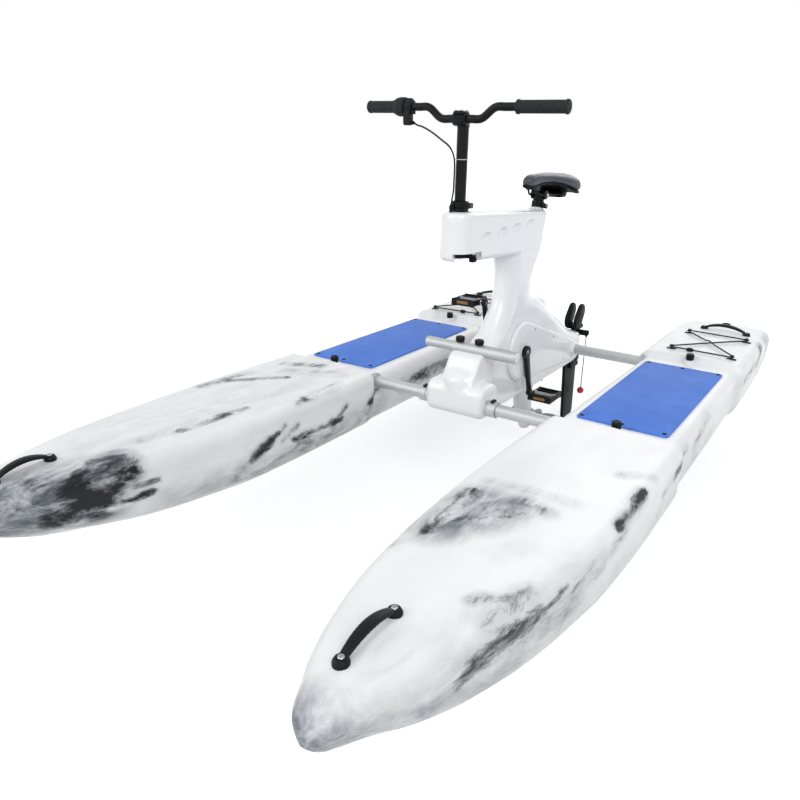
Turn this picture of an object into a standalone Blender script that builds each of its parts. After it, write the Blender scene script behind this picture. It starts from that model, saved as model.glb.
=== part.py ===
"""Water bike: two rotomoulded floats, two cross tubes and a pedal-driven centre unit.

Metres, +Z up. +X is port, -Y is forward (towards the bows). The origin lies under the
middle of the boat, level with the tip of the lowered rudder. Run it with
blender --background --python part.py, or from Blender's text editor.
"""

from math import asin, atan2, cos, hypot, pi, radians, sin, sqrt, tan

import bmesh
import bpy
import numpy as np
from mathutils import Matrix, Vector

# Gaps between neighbouring pieces
GAP = 0.0003
RUNNING_GAP = 0.0010

# The cross tubes reach a little past each float's middle line, so their length sets the boat's beam
TUBE_HALF_LENGTH = 0.565
TUBE_REACH = 0.047
FLOAT_X = TUBE_HALF_LENGTH - TUBE_REACH

# Floats: one row per station gives y, half beam, keel z, deck edge z and the bilge's share of the beam
FLOAT_WALL = 0.005
FLOAT_LINES = np.array((
    (-1.450, 0.014, 0.342, 0.366, 0.80),
    (-1.438, 0.036, 0.330, 0.386, 0.66),
    (-1.400, 0.062, 0.311, 0.404, 0.62),
    (-1.350, 0.087, 0.285, 0.414, 0.60),
    (-1.250, 0.120, 0.248, 0.420, 0.65),
    (-1.150, 0.146, 0.221, 0.420, 0.75),
    (-1.000, 0.170, 0.193, 0.418, 0.88),
    (-0.850, 0.186, 0.176, 0.415, 0.94),
    (-0.650, 0.198, 0.165, 0.412, 0.98),
    (-0.450, 0.203, 0.165, 0.410, 0.98),
    (-0.150, 0.200, 0.165, 0.408, 0.98),
    (0.150, 0.197, 0.165, 0.408, 0.98),
    (0.750, 0.189, 0.165, 0.409, 0.98),
    (1.050, 0.188, 0.178, 0.411, 0.98),
    (1.250, 0.185, 0.205, 0.409, 0.96),
    (1.350, 0.172, 0.228, 0.401, 0.94),
    (1.410, 0.142, 0.254, 0.387, 0.90),
    (1.438, 0.098, 0.280, 0.370, 0.85),
    (1.450, 0.044, 0.300, 0.352, 0.80),
))
FLOAT_STATIONS = (
    -1.450, -1.443, -1.425, -1.395, -1.350, -1.280, -1.190, -1.080, -0.940, -0.780, -0.580,
    -0.350, -0.152, -0.137, -0.122, 0.692, 0.707, 0.722, 0.900, 1.080, 1.220, 1.310,
    1.370, 1.408, 1.434, 1.450,
)
CAVITY_STATIONS = (
    -1.420, -1.340, -1.150, -0.850, -0.500, -0.152, -0.120, 0.690, 0.722, 1.050, 1.280,
    1.390, 1.428,
)
DECK_CROWN = 0.006
DECK_EDGE_RADIUS = 0.036
BILGE_RADIUS = 0.085
CHINE_RISE = 0.048
KEEL_HALF_WIDTH = 0.018
WELL_DECK_Z = 0.389
WELL_INSET = 0.014
WELL_START_Y = -0.152
WELL_END_Y = 0.722
SHOULDER_LENGTH = 0.030

# Cross tubes, their sockets in the floats and the knobs that lock them
TUBE_RADIUS = 0.020
TUBE_WALL = 0.003
TUBE_Z = 0.366
FRONT_TUBE_Y = -0.116
REAR_TUBE_Y = 0.690
SOCKET_WALL = 0.006
KNOB_RADIUS = 0.015
KNOB_HEIGHT = 0.024
STUD_RADIUS = 0.004
DRAIN_RADIUS = 0.010
DRAIN_Y = 1.30

# Deck pads, handles and lashing
PAD_START_Y = -0.080
PAD_END_Y = 0.613
PAD_HALF_WIDTH = 0.136
PAD_THICKNESS = 0.006
PAD_CORNER = 0.010
HANDLE_RISE = 0.022
HANDLE_BOSS_RADIUS = 0.015
BOW_HANDLE = ((FLOAT_X - 0.010, -1.347), (FLOAT_X - 0.008, -1.207))
STERN_HANDLE = ((FLOAT_X - 0.062, 1.172), (FLOAT_X + 0.107, 1.160))
HANDLE_FACE_DEPTH = 0.0022
LASHING_RADIUS = 0.0028
LASHING_EYES = (
    (FLOAT_X - 0.094, 1.054), (FLOAT_X + 0.128, 1.046), (FLOAT_X - 0.091, 0.777), (FLOAT_X + 0.128, 0.771),
)
EYE_BASE_RADIUS = 0.011
EYE_NECK_RADIUS = 0.004
EYE_HEIGHT = 0.016

# Centre housing: z, front y, rear y and half width of its lower body and column
BODY_LINES = (
    (0.292, -0.010, 0.800, 0.044),
    (0.300, -0.050, 0.845, 0.048),
    (0.322, -0.110, 0.866, 0.050),
    (0.350, -0.150, 0.870, 0.050),
    (0.386, -0.158, 0.866, 0.050),
    (0.412, -0.158, 0.800, 0.050),
    (0.440, -0.157, 0.716, 0.050),
    (0.464, -0.140, 0.672, 0.050),
    (0.484, -0.086, 0.638, 0.050),
    (0.506, -0.022, 0.600, 0.050),
    (0.535, 0.018, 0.550, 0.049),
    (0.570, 0.052, 0.488, 0.047),
    (0.610, 0.084, 0.410, 0.045),
    (0.640, 0.104, 0.352, 0.043),
    (0.670, 0.114, 0.328, 0.042),
    (0.740, 0.118, 0.336, 0.042),
    (0.800, 0.108, 0.350, 0.043),
    (0.850, 0.070, 0.364, 0.045),
)
BODY_WALL = 0.004
TAIL_HALF_WIDTH = 0.044
NOSE_HALF_LENGTH = 0.104
NOSE_OUTLINE = ((-0.158, 0.326), (-0.036, 0.326), (-0.036, 0.432), (-0.158, 0.432))
NOSE_RADIUS = 0.026
BEAM_TILT = radians(-3.2)
BEAM_FRONT_RADIUS = 0.052
BEAM_REAR_Y = 0.382
BEAM_REAR_HALF_WIDTH = 0.050
BEAM_THICKNESS = 0.140
BEAM_REAR_LEAN = 0.26
BEAM_TOP_Z = 0.966
TUBE_BOSS_RADIUS = 0.027

# Drive covers on both sides of the housing
COVER_RADIUS = 0.104
COVER_TAIL_RADIUS = 0.034
COVER_TAIL = (0.735, 0.352)
COVER_INNER_X = 0.0515
COVER_OUTER_X = 0.0640
COVER_WALL = 0.0025

# Cranks and pedals
CRANK_Y = 0.217
CRANK_Z = 0.466
CRANK_ARM = 0.170
CRANK_LEAN = radians(17.0)
CRANK_ARM_X = 0.075
CRANK_ARM_THICKNESS = 0.014
AXLE_RADIUS = 0.0085
PEDAL_INNER_X = 0.092
PEDAL_WIDTH = 0.088
PEDAL_LENGTH = 0.096
PEDAL_HEIGHT = 0.024
SPINDLE_RADIUS = 0.005

# Belt stage and bevel stages; crank to propeller is 1:8
DRIVE_Y = 0.425
JACKSHAFT_Z = 0.400
PROPELLER_Z = 0.118
BELT_X = -0.025
BELT_WIDTH = 0.012
BELT_THICKNESS = 0.003
CRANK_PULLEY_RADIUS = 0.0768
JACK_PULLEY_RADIUS = 0.0288
JACKSHAFT_RADIUS = 0.006
UPPER_MODULE = 0.0025
UPPER_WHEEL_TEETH = 24
UPPER_PINION_TEETH = 12
LOWER_MODULE = 0.0016
LOWER_WHEEL_TEETH = 21
LOWER_PINION_TEETH = 14
FACE_SHARE = 0.30
LEG_SHAFT_RADIUS = 0.005
PROP_SHAFT_RADIUS = 0.005
PROPELLER_Y = 0.526
PROPELLER_RADIUS = 0.110
PROPELLER_HUB_RADIUS = 0.015
PROPELLER_PITCH = 0.26

# Drive leg: z, front y, rear y and half thickness
LEG_LINES = (
    (0.2885, 0.300, 0.478, 0.020),
    (0.270, 0.304, 0.466, 0.017),
    (0.230, 0.312, 0.460, 0.016),
    (0.190, 0.334, 0.462, 0.016),
    (0.150, 0.366, 0.466, 0.015),
    (0.118, 0.392, 0.468, 0.010),
)
LEG_FLANGE = (0.286, 0.492, 0.036)
LEG_FLANGE_THICKNESS = 0.006
POD_RADIUS = 0.024
POD_START_Y = 0.386
POD_END_Y = 0.502

# Steering column and handlebar
STEER_Y = -0.163
STEERER_RADIUS = 0.0200
STEERER_WALL = 0.0030
STEERER_STEPS = 24
STEERER_BOTTOM_Z = 0.8360
STEERER_TOP_Z = 0.990
POST_RADIUS = 0.0165
POST_BOTTOM_Z = 0.900
BAR_Y = -0.1775
BAR_Z = 1.219
BAR_RISE = 0.031
BAR_RADIUS = 0.0111
BAR_HALF_LENGTH = 0.3125
BAR_SWEEP = 0.0
STEM_HALF_WIDTH = 0.021
STEM_RADIUS = 0.0195
GRIP_RADIUS = 0.0172
PORT_GRIP_X = 0.170
STARBOARD_GRIP_X = -0.222
SHIFTER_RADIUS = 0.0265
SHIFTER_X = (-0.2205, -0.1830)
CABLE_RADIUS = 0.0026

# Foot bar in front of the column
FOOT_BAR_Y = -0.052
FOOT_BAR_Z = 0.526
FOOT_SLEEVE_RADIUS = 0.0200
FOOT_TUBE_RADIUS = 0.0165
FOOT_BAR_HALF_LENGTH = 0.165
FOOT_SLEEVE_START_X = -0.062
FOOT_KNOB_X = (-0.040, 0.030)
FOOT_KNOB_RADIUS = 0.0175

# Saddle and seatpost
SEAT_Y = 0.352
SEAT_Z = 0.850
SEAT_TILT = radians(15.0)
SEAT_COLLAR = (0.094, 0.115)
SEATPOST_RADIUS = 0.0158
SEATPOST_BELOW = 0.130
SEATPOST_ABOVE = 0.135
SADDLE_LINES = (
    (0.274, 0.008, 1.018, 1.002),
    (0.280, 0.016, 1.028, 0.995),
    (0.300, 0.022, 1.036, 0.990),
    (0.340, 0.027, 1.041, 0.993),
    (0.390, 0.040, 1.044, 0.994),
    (0.440, 0.062, 1.047, 0.988),
    (0.490, 0.082, 1.051, 0.978),
    (0.530, 0.090, 1.052, 0.972),
    (0.556, 0.080, 1.043, 0.976),
    (0.570, 0.050, 1.028, 0.990),
)

# Rudder
RUDDER_Y = 0.845
RUDDER_STOCK_RADIUS = 0.010
RUDDER_PIVOT_Y = 0.880
RUDDER_PIVOT_Z = 0.262
BLADE_HALF_THICKNESS = 0.0065
UPHAUL_TOP = (0.046, 0.884, 0.386)
UPHAUL_BALL_Z = 0.128
UPHAUL_BALL_RADIUS = 0.013

FINISHES = {
    "float_shell": ("EEF0F3", 0.38, 0.0),
    "housing_shell": ("F3F4F6", 0.30, 0.0),
    "pad_foam": ("5B84DF", 0.75, 0.0),
    "satin_aluminium": ("C9CCD0", 0.34, 1.0),
    "steel": ("B4B7BA", 0.30, 1.0),
    "grey_casting": ("9EA3A8", 0.50, 0.0),
    "black_plastic": ("17181A", 0.45, 0.0),
    "black_paint": ("121315", 0.32, 0.0),
    "rubber": ("1B1B1D", 0.75, 0.0),
    "vinyl": ("16171B", 0.50, 0.0),
    "cord": ("1E1F21", 0.80, 0.0),
    "red_plastic": ("C4252C", 0.40, 0.0),
}


# Shapes: each function returns (points, faces) in world metres
def turned(profile, centre, axis="Z", steps=16):
    """A (radius, height) outline turned about an axis; a ring, or a solid that starts and ends at radius 0."""
    solid_ends = profile[0][0] == 0
    points = []
    rows = []
    for radius, height in profile:
        if radius == 0:
            rows.append([len(points)] * steps)
            points.append((0.0, 0.0, height))
            continue
        rows.append(range(len(points), len(points) + steps))
        for step in range(steps):
            angle = 2 * pi * step / steps
            points.append((radius * cos(angle), radius * sin(angle), height))
    if not solid_ends:
        rows.append(rows[0])
    faces = []
    for low, high in zip(rows, rows[1:]):
        for step in range(steps):
            following = (step + 1) % steps
            corners = (low[step], low[following], high[following], high[step])
            faces.append(tuple(dict.fromkeys(corners)))
    order = {"X": (2, 0, 1), "Y": (1, 2, 0), "Z": (0, 1, 2)}[axis]
    points = [tuple(point[k] + centre[i] for i, k in enumerate(order)) for point in points]
    return points, faces


def disc(radius, low, high, centre, axis="Z", steps=16):
    """A plain cylinder between two heights on an axis."""
    return turned(((0, low), (radius, low), (radius, high), (0, high)), centre, axis, steps)


def ring(inner, outer, low, high, centre, axis="Z", steps=16):
    """A plain ring between two heights on an axis."""
    return turned(((inner, low), (outer, low), (outer, high), (inner, high)), centre, axis, steps)


def lofted(rings):
    """A skin over equal rings of points, closed by a flat face at each end."""
    count = len(rings[0])
    points = [tuple(point) for each in rings for point in each]
    faces = [tuple(range(count)), tuple(range((len(rings) - 1) * count, len(rings) * count))]
    for row in range(len(rings) - 1):
        for step in range(count):
            following = (step + 1) % count
            first = row * count
            faces.append((first + step, first + following, first + count + following, first + count + step))
    return points, faces


def prism(outline, low, high, axis):
    """An outline in the two other axes, extruded along one axis."""
    def placed(u, v, w):
        return {"X": (w, u, v), "Y": (u, w, v), "Z": (u, v, w)}[axis]

    return lofted([[placed(u, v, low) for u, v in outline], [placed(u, v, high) for u, v in outline]])


def together(*shapes):
    """Separate shapes in one, for a single cut."""
    points = []
    faces = []
    for more_points, more_faces in shapes:
        faces += [tuple(index + len(points) for index in face) for face in more_faces]
        points += more_points
    return points, faces


def turned_about(shape, pivot, axis, angle):
    """A shape rotated about an axis through a pivot."""
    pivot = Vector(pivot)
    spin = Matrix.Rotation(angle, 3, axis)
    return [tuple(spin @ (Vector(point) - pivot) + pivot) for point in shape[0]], shape[1]


def fillet(before, corner, after, radius, steps):
    """Points of an arc that rounds one corner of an outline."""
    before, corner, after = (np.array(point, float) for point in (before, corner, after))
    back = (before - corner) / np.linalg.norm(before - corner)
    ahead = (after - corner) / np.linalg.norm(after - corner)
    half = 0.5 * np.arccos(np.clip(back @ ahead, -1, 1))
    middle = back + ahead
    centre = corner + middle / np.linalg.norm(middle) * radius / sin(half)
    start = corner + back * radius / tan(half) - centre
    end = corner + ahead * radius / tan(half) - centre
    turn = np.arctan2(start[0] * end[1] - start[1] * end[0], start @ end)
    angles = turn * np.arange(steps + 1) / steps
    return [
        tuple(centre + (start[0] * cos(a) - start[1] * sin(a), start[0] * sin(a) + start[1] * cos(a)))
        for a in angles
    ]


def rounded(corners, radii, steps=4):
    """A closed outline with its corners rounded; radii is one value or one per corner."""
    if np.isscalar(radii):
        radii = [radii] * len(corners)
    points = []
    for i, (corner, radius) in enumerate(zip(corners, radii)):
        if radius == 0:
            points.append(tuple(corner))
            continue
        points += fillet(corners[i - 1], corner, corners[(i + 1) % len(corners)], radius, steps)
    return points


def box_outline(low, high):
    """The four corners of a rectangle."""
    return [(low[0], low[1]), (high[0], low[1]), (high[0], high[1]), (low[0], high[1])]


def hull_of_circles(first, first_radius, second, second_radius, steps=18):
    """The teardrop around two circles: outline points in their plane."""
    (u0, v0), (u1, v1) = first, second
    along = atan2(v1 - v0, u1 - u0)
    lean = asin((first_radius - second_radius) / hypot(u1 - u0, v1 - v0))
    big = np.linspace(along + pi / 2 - lean, along + 3 * pi / 2 + lean, steps)
    small = np.linspace(along - pi / 2 + lean, along + pi / 2 - lean, steps // 2)
    return (
        [(u0 + first_radius * cos(a), v0 + first_radius * sin(a)) for a in big]
        + [(u1 + second_radius * cos(a), v1 + second_radius * sin(a)) for a in small]
    )


def faired(table, column, y):
    """A table's column at y, on a smooth curve that doesn't overshoot its rows."""
    x, v = table[:, 0], table[:, column]
    step = np.diff(x)
    slope = np.diff(v) / step
    same = slope[:-1] * slope[1:] > 0
    tangent = np.concatenate([slope[:1], np.zeros(len(x) - 2), slope[-1:]])
    with np.errstate(divide="ignore", invalid="ignore"):
        tangent[1:-1] = np.where(same, 2 / (1 / slope[:-1] + 1 / slope[1:]), 0)
    i = int(np.clip(np.searchsorted(x, y) - 1, 0, len(step) - 1))
    t = (y - x[i]) / step[i]
    return float(
        (1 + 2 * t) * (1 - t) ** 2 * v[i]
        + t * (1 - t) ** 2 * step[i] * tangent[i]
        + t * t * (3 - 2 * t) * v[i + 1]
        + t * t * (t - 1) * step[i] * tangent[i + 1]
    )


# Pieces: objects with a finish
def finish_of(name):
    """The Principled material of a finish, made on first use."""
    material = bpy.data.materials.get(name)
    if material:
        return material
    colour, roughness, metallic = FINISHES[name]
    linear = [((int(colour[i:i + 2], 16) / 255 + 0.055) / 1.055) ** 2.4 for i in (0, 2, 4)]
    material = bpy.data.materials.new(name)
    material.use_nodes = True
    surface = material.node_tree.nodes["Principled BSDF"]
    surface.inputs["Base Color"].default_value = (*linear, 1)
    surface.inputs["Roughness"].default_value = roughness
    surface.inputs["Metallic"].default_value = metallic
    material.diffuse_color = (*linear, 1)
    return material


def solid(name, shape, finish, origin=(0.0, 0.0, 0.0)):
    """One closed piece, with its origin at a point of its joint."""
    points, faces = shape
    mesh = bpy.data.meshes.new(name)
    mesh.from_pydata([Vector(point) - Vector(origin) for point in points], [], faces)
    work = bmesh.new()
    work.from_mesh(mesh)
    bmesh.ops.recalc_face_normals(work, faces=work.faces)
    work.to_mesh(mesh)
    work.free()
    mesh.materials.append(finish_of(finish))
    piece = bpy.data.objects.new(name, mesh)
    piece.location = origin
    bpy.context.scene.collection.objects.link(piece)
    return piece


def tool(name, shape):
    """A hidden shape for a cut or a join."""
    piece = solid(name, shape, "steel")
    piece.hide_render = True
    piece.display_type = "WIRE"
    return piece


def shaped(piece, operation, shape, label):
    """Cuts a shape or a tool out of a piece, or joins it on."""
    if isinstance(shape, tuple):
        shape = tool(f"{piece.name}_{label}", shape)
    shape.parent = piece
    shape.matrix_parent_inverse = Matrix.Translation(-piece.location)
    modifier = piece.modifiers.new(label, "BOOLEAN")
    modifier.operation = operation
    modifier.solver = "EXACT"
    modifier.object = shape
    return piece


def cut(piece, shape, label):
    return shaped(piece, "DIFFERENCE", shape, label)


def join(piece, shape, label):
    return shaped(piece, "UNION", shape, label)


def round_bar(name, path, radius, finish, closed=False, resolution=2):
    """A round bar or cord along a path of points."""
    curve = bpy.data.curves.new(name, "CURVE")
    curve.dimensions = "3D"
    curve.bevel_depth = radius
    curve.bevel_resolution = resolution
    curve.use_fill_caps = not closed
    spline = curve.splines.new("POLY")
    spline.points.add(len(path) - 1)
    for point, place in zip(spline.points, path):
        point.co = (*place, 1)
    spline.use_cyclic_u = closed
    curve.materials.append(finish_of(finish))
    piece = bpy.data.objects.new(name, curve)
    bpy.context.scene.collection.objects.link(piece)
    return piece


def eased(path, rounds=2):
    """A path with its corners cut, so that it runs smoothly."""
    path = [np.array(point, float) for point in path]
    for _ in range(rounds):
        middle = []
        for start, end in zip(path, path[1:]):
            middle += [start * 0.75 + end * 0.25, start * 0.25 + end * 0.75]
        path = [path[0], *middle[1:-1], path[-1]]
    return [tuple(point) for point in path]


def axis_of(name, location, parent=None):
    """The empty on a joint's axis that carries a moving group."""
    empty = bpy.data.objects.new(name, None)
    empty.location = location
    empty.empty_display_size = 0.05
    bpy.context.scene.collection.objects.link(empty)
    if parent:
        carried(parent, empty)
    return empty


def carried(parent, *pieces):
    """Parents pieces to an axis without moving them."""
    place = Vector(parent["place"]) if "place" in parent else parent.location.copy()
    for piece in pieces:
        piece["place"] = piece.location.copy()
        piece.parent = parent
        piece.matrix_parent_inverse = Matrix.Translation(-place)


# Floats
def in_well(y):
    """1 along the lowered deck of the pad well, 0 fore and aft of it."""
    front = np.clip((y - WELL_START_Y) / SHOULDER_LENGTH, 0, 1)
    rear = np.clip((WELL_END_Y - y) / SHOULDER_LENGTH, 0, 1)
    share = min(front, rear)
    return share * share * (3 - 2 * share)


def float_sizes(y):
    """Half beam, keel z, deck edge z and deck crown at a station."""
    well = in_well(y)
    half_beam = faired(FLOAT_LINES, 1, y) - WELL_INSET * well
    deck = faired(FLOAT_LINES, 3, y) * (1 - well) + WELL_DECK_Z * well
    crown = DECK_CROWN * (1 - well) * min(1, half_beam / 0.12)
    return half_beam, faired(FLOAT_LINES, 2, y), deck, crown


def deck_z(x, y):
    """Height of the deck surface of the port float."""
    half_beam, _, deck, crown = float_sizes(y)
    edge = half_beam - min(DECK_EDGE_RADIUS, 0.5 * half_beam)
    return deck + crown * (1 - min(1, abs(x - FLOAT_X) / edge))


def knob_seat(y):
    """Height of the flat boss that a tube's knob sits on."""
    return max(deck_z(FLOAT_X, y - 0.018), deck_z(FLOAT_X, y + 0.018)) + 0.001


def float_ring(y, side, wall=0.0, steps=(4, 4)):
    """One cross section of a float, wall inside its skin."""
    half_beam, keel, deck, crown = float_sizes(y)
    half_beam -= wall
    keel += wall
    deck -= wall
    edge_radius = min(DECK_EDGE_RADIUS, 0.5 * half_beam, 0.4 * (deck - keel))
    flat = min(KEEL_HALF_WIDTH, 0.35 * half_beam)
    rise = min(CHINE_RISE, 0.4 * (deck - keel))
    edge = (half_beam, deck)
    chine = (half_beam * faired(FLOAT_LINES, 4, y), keel + rise)
    bilge_radius = min(BILGE_RADIUS, 0.75 * (chine[0] - flat), 0.6 * (deck - keel - edge_radius))
    half = [
        (0.0, deck + crown),
        *fillet((0.0, deck), edge, chine, edge_radius, steps[0]),
        *fillet(edge, chine, (flat, keel), bilge_radius, steps[1]),
        (flat, keel),
    ]
    outline = half + [(-x, z) for x, z in reversed(half[1:])]
    return [(side * FLOAT_X + x, y, z) for x, z in outline]


def make_float(side, label):
    """A hollow rotomoulded float with tube sockets, lashing eyes and a drain."""
    hull = solid(f"hull_{label}", lofted([float_ring(y, side) for y in FLOAT_STATIONS]), "float_shell")
    rings = [float_ring(y, side, FLOAT_WALL, (2, 2)) for y in CAVITY_STATIONS]
    cavity = tool(f"hull_{label}_cavity", lofted(rings))
    inner_x = side * (FLOAT_X - 0.240)
    outer_x = side * (TUBE_HALF_LENGTH + SOCKET_WALL)
    low, high = sorted((inner_x, outer_x))
    bores = []
    for y in (FRONT_TUBE_Y, REAR_TUBE_Y):
        sleeve = disc(TUBE_RADIUS + GAP + SOCKET_WALL, low, high, (0, y, TUBE_Z), "X", 20)
        cut(cavity, sleeve, "sleeve_front" if y < 0 else "sleeve_rear")
        start, end = sorted((inner_x, side * (TUBE_HALF_LENGTH + GAP)))
        bores.append(disc(TUBE_RADIUS + GAP, start, end, (0, y, TUBE_Z), "X", 20))
        bores.append(disc(STUD_RADIUS + GAP, TUBE_Z, 0.45, (side * FLOAT_X, y, 0), "Z", 12))
    drain_z = deck_z(FLOAT_X, DRAIN_Y) - 0.03
    bores.append(disc(DRAIN_RADIUS + GAP, drain_z, 0.45, (side * FLOAT_X, DRAIN_Y, 0), "Z", 16))
    for x, y in (*BOW_HANDLE, *STERN_HANDLE):
        seat = deck_z(x, y) - HANDLE_FACE_DEPTH
        bores.append(disc(HANDLE_BOSS_RADIUS + 0.0008, seat, seat + 0.04, (side * x, y, 0), "Z", 14))
    eyes = []
    for y in (FRONT_TUBE_Y, REAR_TUBE_Y):
        eyes.append(disc(0.018, WELL_DECK_Z - 0.002, knob_seat(y), (side * FLOAT_X, y, 0), "Z", 14))
    for x, y in LASHING_EYES:
        base = deck_z(x, y)
        profile = (
            (0, base - 0.004),
            (EYE_BASE_RADIUS, base - 0.004),
            (EYE_NECK_RADIUS, base + 0.004),
            (EYE_NECK_RADIUS, base + EYE_HEIGHT - 0.003),
            (0.008, base + EYE_HEIGHT),
            (0, base + EYE_HEIGHT),
        )
        eyes.append(turned(profile, (side * x, y, 0), "Z", 10))
    join(hull, together(*eyes), "eyes")
    cut(hull, cavity, "cavity")
    return cut(hull, together(*bores), "bores")


def make_pad(side, label):
    """The foam pad glued into the well."""
    low = (side * FLOAT_X - PAD_HALF_WIDTH, PAD_START_Y)
    high = (side * FLOAT_X + PAD_HALF_WIDTH, PAD_END_Y)
    outline = rounded(box_outline(low, high), PAD_CORNER, 3)
    bottom = WELL_DECK_Z + GAP
    return solid(f"deck_pad_{label}", prism(outline, bottom, bottom + PAD_THICKNESS, "Z"), "pad_foam")


def make_handle(name, side, ends):
    """An arched carry strap with a bolted boss at each end."""
    start, end = (np.array((side * x, y, deck_z(x, y) - HANDLE_FACE_DEPTH + GAP)) for x, y in ends)
    along = (end - start) / np.linalg.norm(end - start)
    across = np.cross((0, 0, 1), along)
    rings = []
    for t in np.linspace(0, 1, 11):
        middle = start + (end - start) * t
        lift = HANDLE_RISE * sin(pi * t) ** 0.7 + 0.006
        half = 0.0080 + 0.0035 * sin(pi * t)
        thick = 0.0045 + 0.0015 * sin(pi * t)
        centre = middle + np.array((0, 0, lift))
        rings.append([
            tuple(centre + across * half * cos(a) + np.array((0, 0, 1)) * thick * sin(a))
            for a in np.arange(6) * pi / 3 + pi / 6
        ])
    bosses = []
    for foot in (start, end):
        profile = (
            (0, 0),
            (HANDLE_BOSS_RADIUS, 0),
            (HANDLE_BOSS_RADIUS, 0.007),
            (HANDLE_BOSS_RADIUS - 0.004, 0.014),
            (0, 0.0145),
        )
        bosses.append(turned(profile, tuple(foot), "Z", 14))
    return join(solid(name, lofted(rings), "black_plastic"), together(*bosses), "bosses")


def make_lashing(side, label):
    """One elastic cord looped round the four lashing eyes, crossing itself in the middle."""
    order = (0, 1, 2, 3)
    loop = LASHING_RADIUS + EYE_NECK_RADIUS + GAP
    centres = [np.array(LASHING_EYES[i]) for i in order]
    middle = np.mean(centres, axis=0)
    path = []
    for i, centre in enumerate(centres):
        before = centres[i - 1] - centre
        after = centres[(i + 1) % 4] - centre
        out = -(before / np.linalg.norm(before) + after / np.linalg.norm(after))
        heading = atan2(out[1], out[0])
        tangents = []
        for line in (before, after):
            options = [atan2(line[1], line[0]) + quarter for quarter in (-pi / 2, pi / 2)]
            offsets = [(option - heading + pi) % (2 * pi) - pi for option in options]
            tangents.append(min(offsets, key=abs))
        for angle in heading + np.linspace(*tangents, 6):
            spot = centre + loop * np.array((cos(angle), sin(angle)))
            path.append((side * spot[0], spot[1], deck_z(*centre) + 0.0100))
        if i == 1:
            for share, lift in ((0.45, 0.0), (0.5, 0.0), (0.55, 0.0)):
                spot = centre + (centres[2] - centre) * share
                path.append((side * spot[0], spot[1], deck_z(*middle) + 0.0058 + lift))
        if i == 3:
            for share, lift in ((0.42, 0.001), (0.5, 0.0075), (0.58, 0.001)):
                spot = centre + (centres[0] - centre) * share
                path.append((side * spot[0], spot[1], deck_z(*middle) + 0.0058 + lift))
    return round_bar(f"lashing_cord_{label}", path, LASHING_RADIUS, "cord", closed=True)


def make_knob(name, centre, height, radius, stud_length, finish="black_plastic"):
    """A lobed hand knob with its stud."""
    x, y, z = centre
    rings = []
    for lift, scale in ((0, 0.86), (0.18, 1.0), (0.75, 1.0), (1.0, 0.80)):
        rings.append([
            (
                x + scale * radius * (1 + 0.08 * cos(6 * a)) * cos(a),
                y + scale * radius * (1 + 0.08 * cos(6 * a)) * sin(a),
                z + height * lift,
            )
            for a in np.arange(18) * pi / 9
        ])
    knob = solid(name, lofted(rings), finish, centre)
    return join(knob, disc(STUD_RADIUS, -stud_length, height / 2, centre, "Z", 12), "stud")


def make_drain_plug(side, label):
    """The screwed drain plug in the after deck."""
    base = deck_z(FLOAT_X, DRAIN_Y)
    profile = (
        (0, base - 0.016),
        (DRAIN_RADIUS, base - 0.016),
        (DRAIN_RADIUS, base + 0.0015),
        (0.017, base + 0.0015),
        (0.016, base + 0.006),
        (0, base + 0.007),
    )
    return solid(f"drain_plug_{label}", turned(profile, (side * FLOAT_X, DRAIN_Y, 0), "Z", 16), "black_plastic")


def make_cross_tube(name, y):
    """One aluminium tube through the housing and into both floats."""
    shape = ring(TUBE_RADIUS - TUBE_WALL, TUBE_RADIUS, -TUBE_HALF_LENGTH, TUBE_HALF_LENGTH, (0, y, TUBE_Z), "X", 20)
    return solid(name, shape, "satin_aluminium")


# Centre housing
def body_ring(z, front, rear, half, wall=0.0, steps=5):
    """A plan section: blunt ahead, narrower behind."""
    front += wall
    rear -= wall
    half -= wall
    length = rear - front
    nose = min(0.075, 0.42 * length)
    tail = min(0.09, 0.40 * length)
    tail_half = half - (half - TAIL_HALF_WIDTH + wall * 0.6) * np.clip((length - 0.35) / 0.45, 0, 1)
    starboard = []
    for a in np.linspace(0, pi / 2, steps):
        starboard.append((-half * sin(a), front + nose * (1 - cos(a))))
    for a in np.linspace(0, pi / 2, steps):
        width = tail_half + (half - tail_half) * (1 - sin(a)) ** 1.3
        starboard.append((-width * cos(a) ** 0.8 if a < pi / 2 else 0.0, rear - tail * (1 - sin(a))))
    port = [(-x, y) for x, y in reversed(starboard[1:-1])]
    return [(x, y, z) for x, y in starboard + port]


def beam_rings(wall=0.0):
    """Plan sections of the head and beam, to be tilted about the steering axis."""
    rings = []
    edge = 0.012
    low = BEAM_TOP_Z - BEAM_THICKNESS + wall
    high = BEAM_TOP_Z - wall
    levels = ((low, edge), (low + edge * 0.3, edge * 0.3), (low + edge, 0), (high - edge, 0),
              (high - edge * 0.3, edge * 0.3), (high, edge))
    if wall:
        levels = ((low, edge), (low + edge, 0), (high - edge, 0), (high, edge))
    for z, inset in levels:
        front = BEAM_FRONT_RADIUS - wall - inset
        rear = BEAM_REAR_HALF_WIDTH - wall - inset
        end = BEAM_REAR_Y - wall - inset - BEAM_REAR_LEAN * (BEAM_TOP_Z - z)
        outline = [(-front * cos(a), STEER_Y - front * sin(a)) for a in np.linspace(0, pi, 7 if wall else 11)]
        corner = 0.030
        for a in np.linspace(0, pi / 2, 2 if wall else 4):
            outline.append((rear - corner * (1 - cos(a)), end - corner * (1 - sin(a))))
        for a in np.linspace(pi / 2, 0, 2 if wall else 4):
            outline.append((-rear + corner * (1 - cos(a)), end - corner * (1 - sin(a))))
        rings.append([(x, y, z) for x, y in outline])
    return rings


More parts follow.
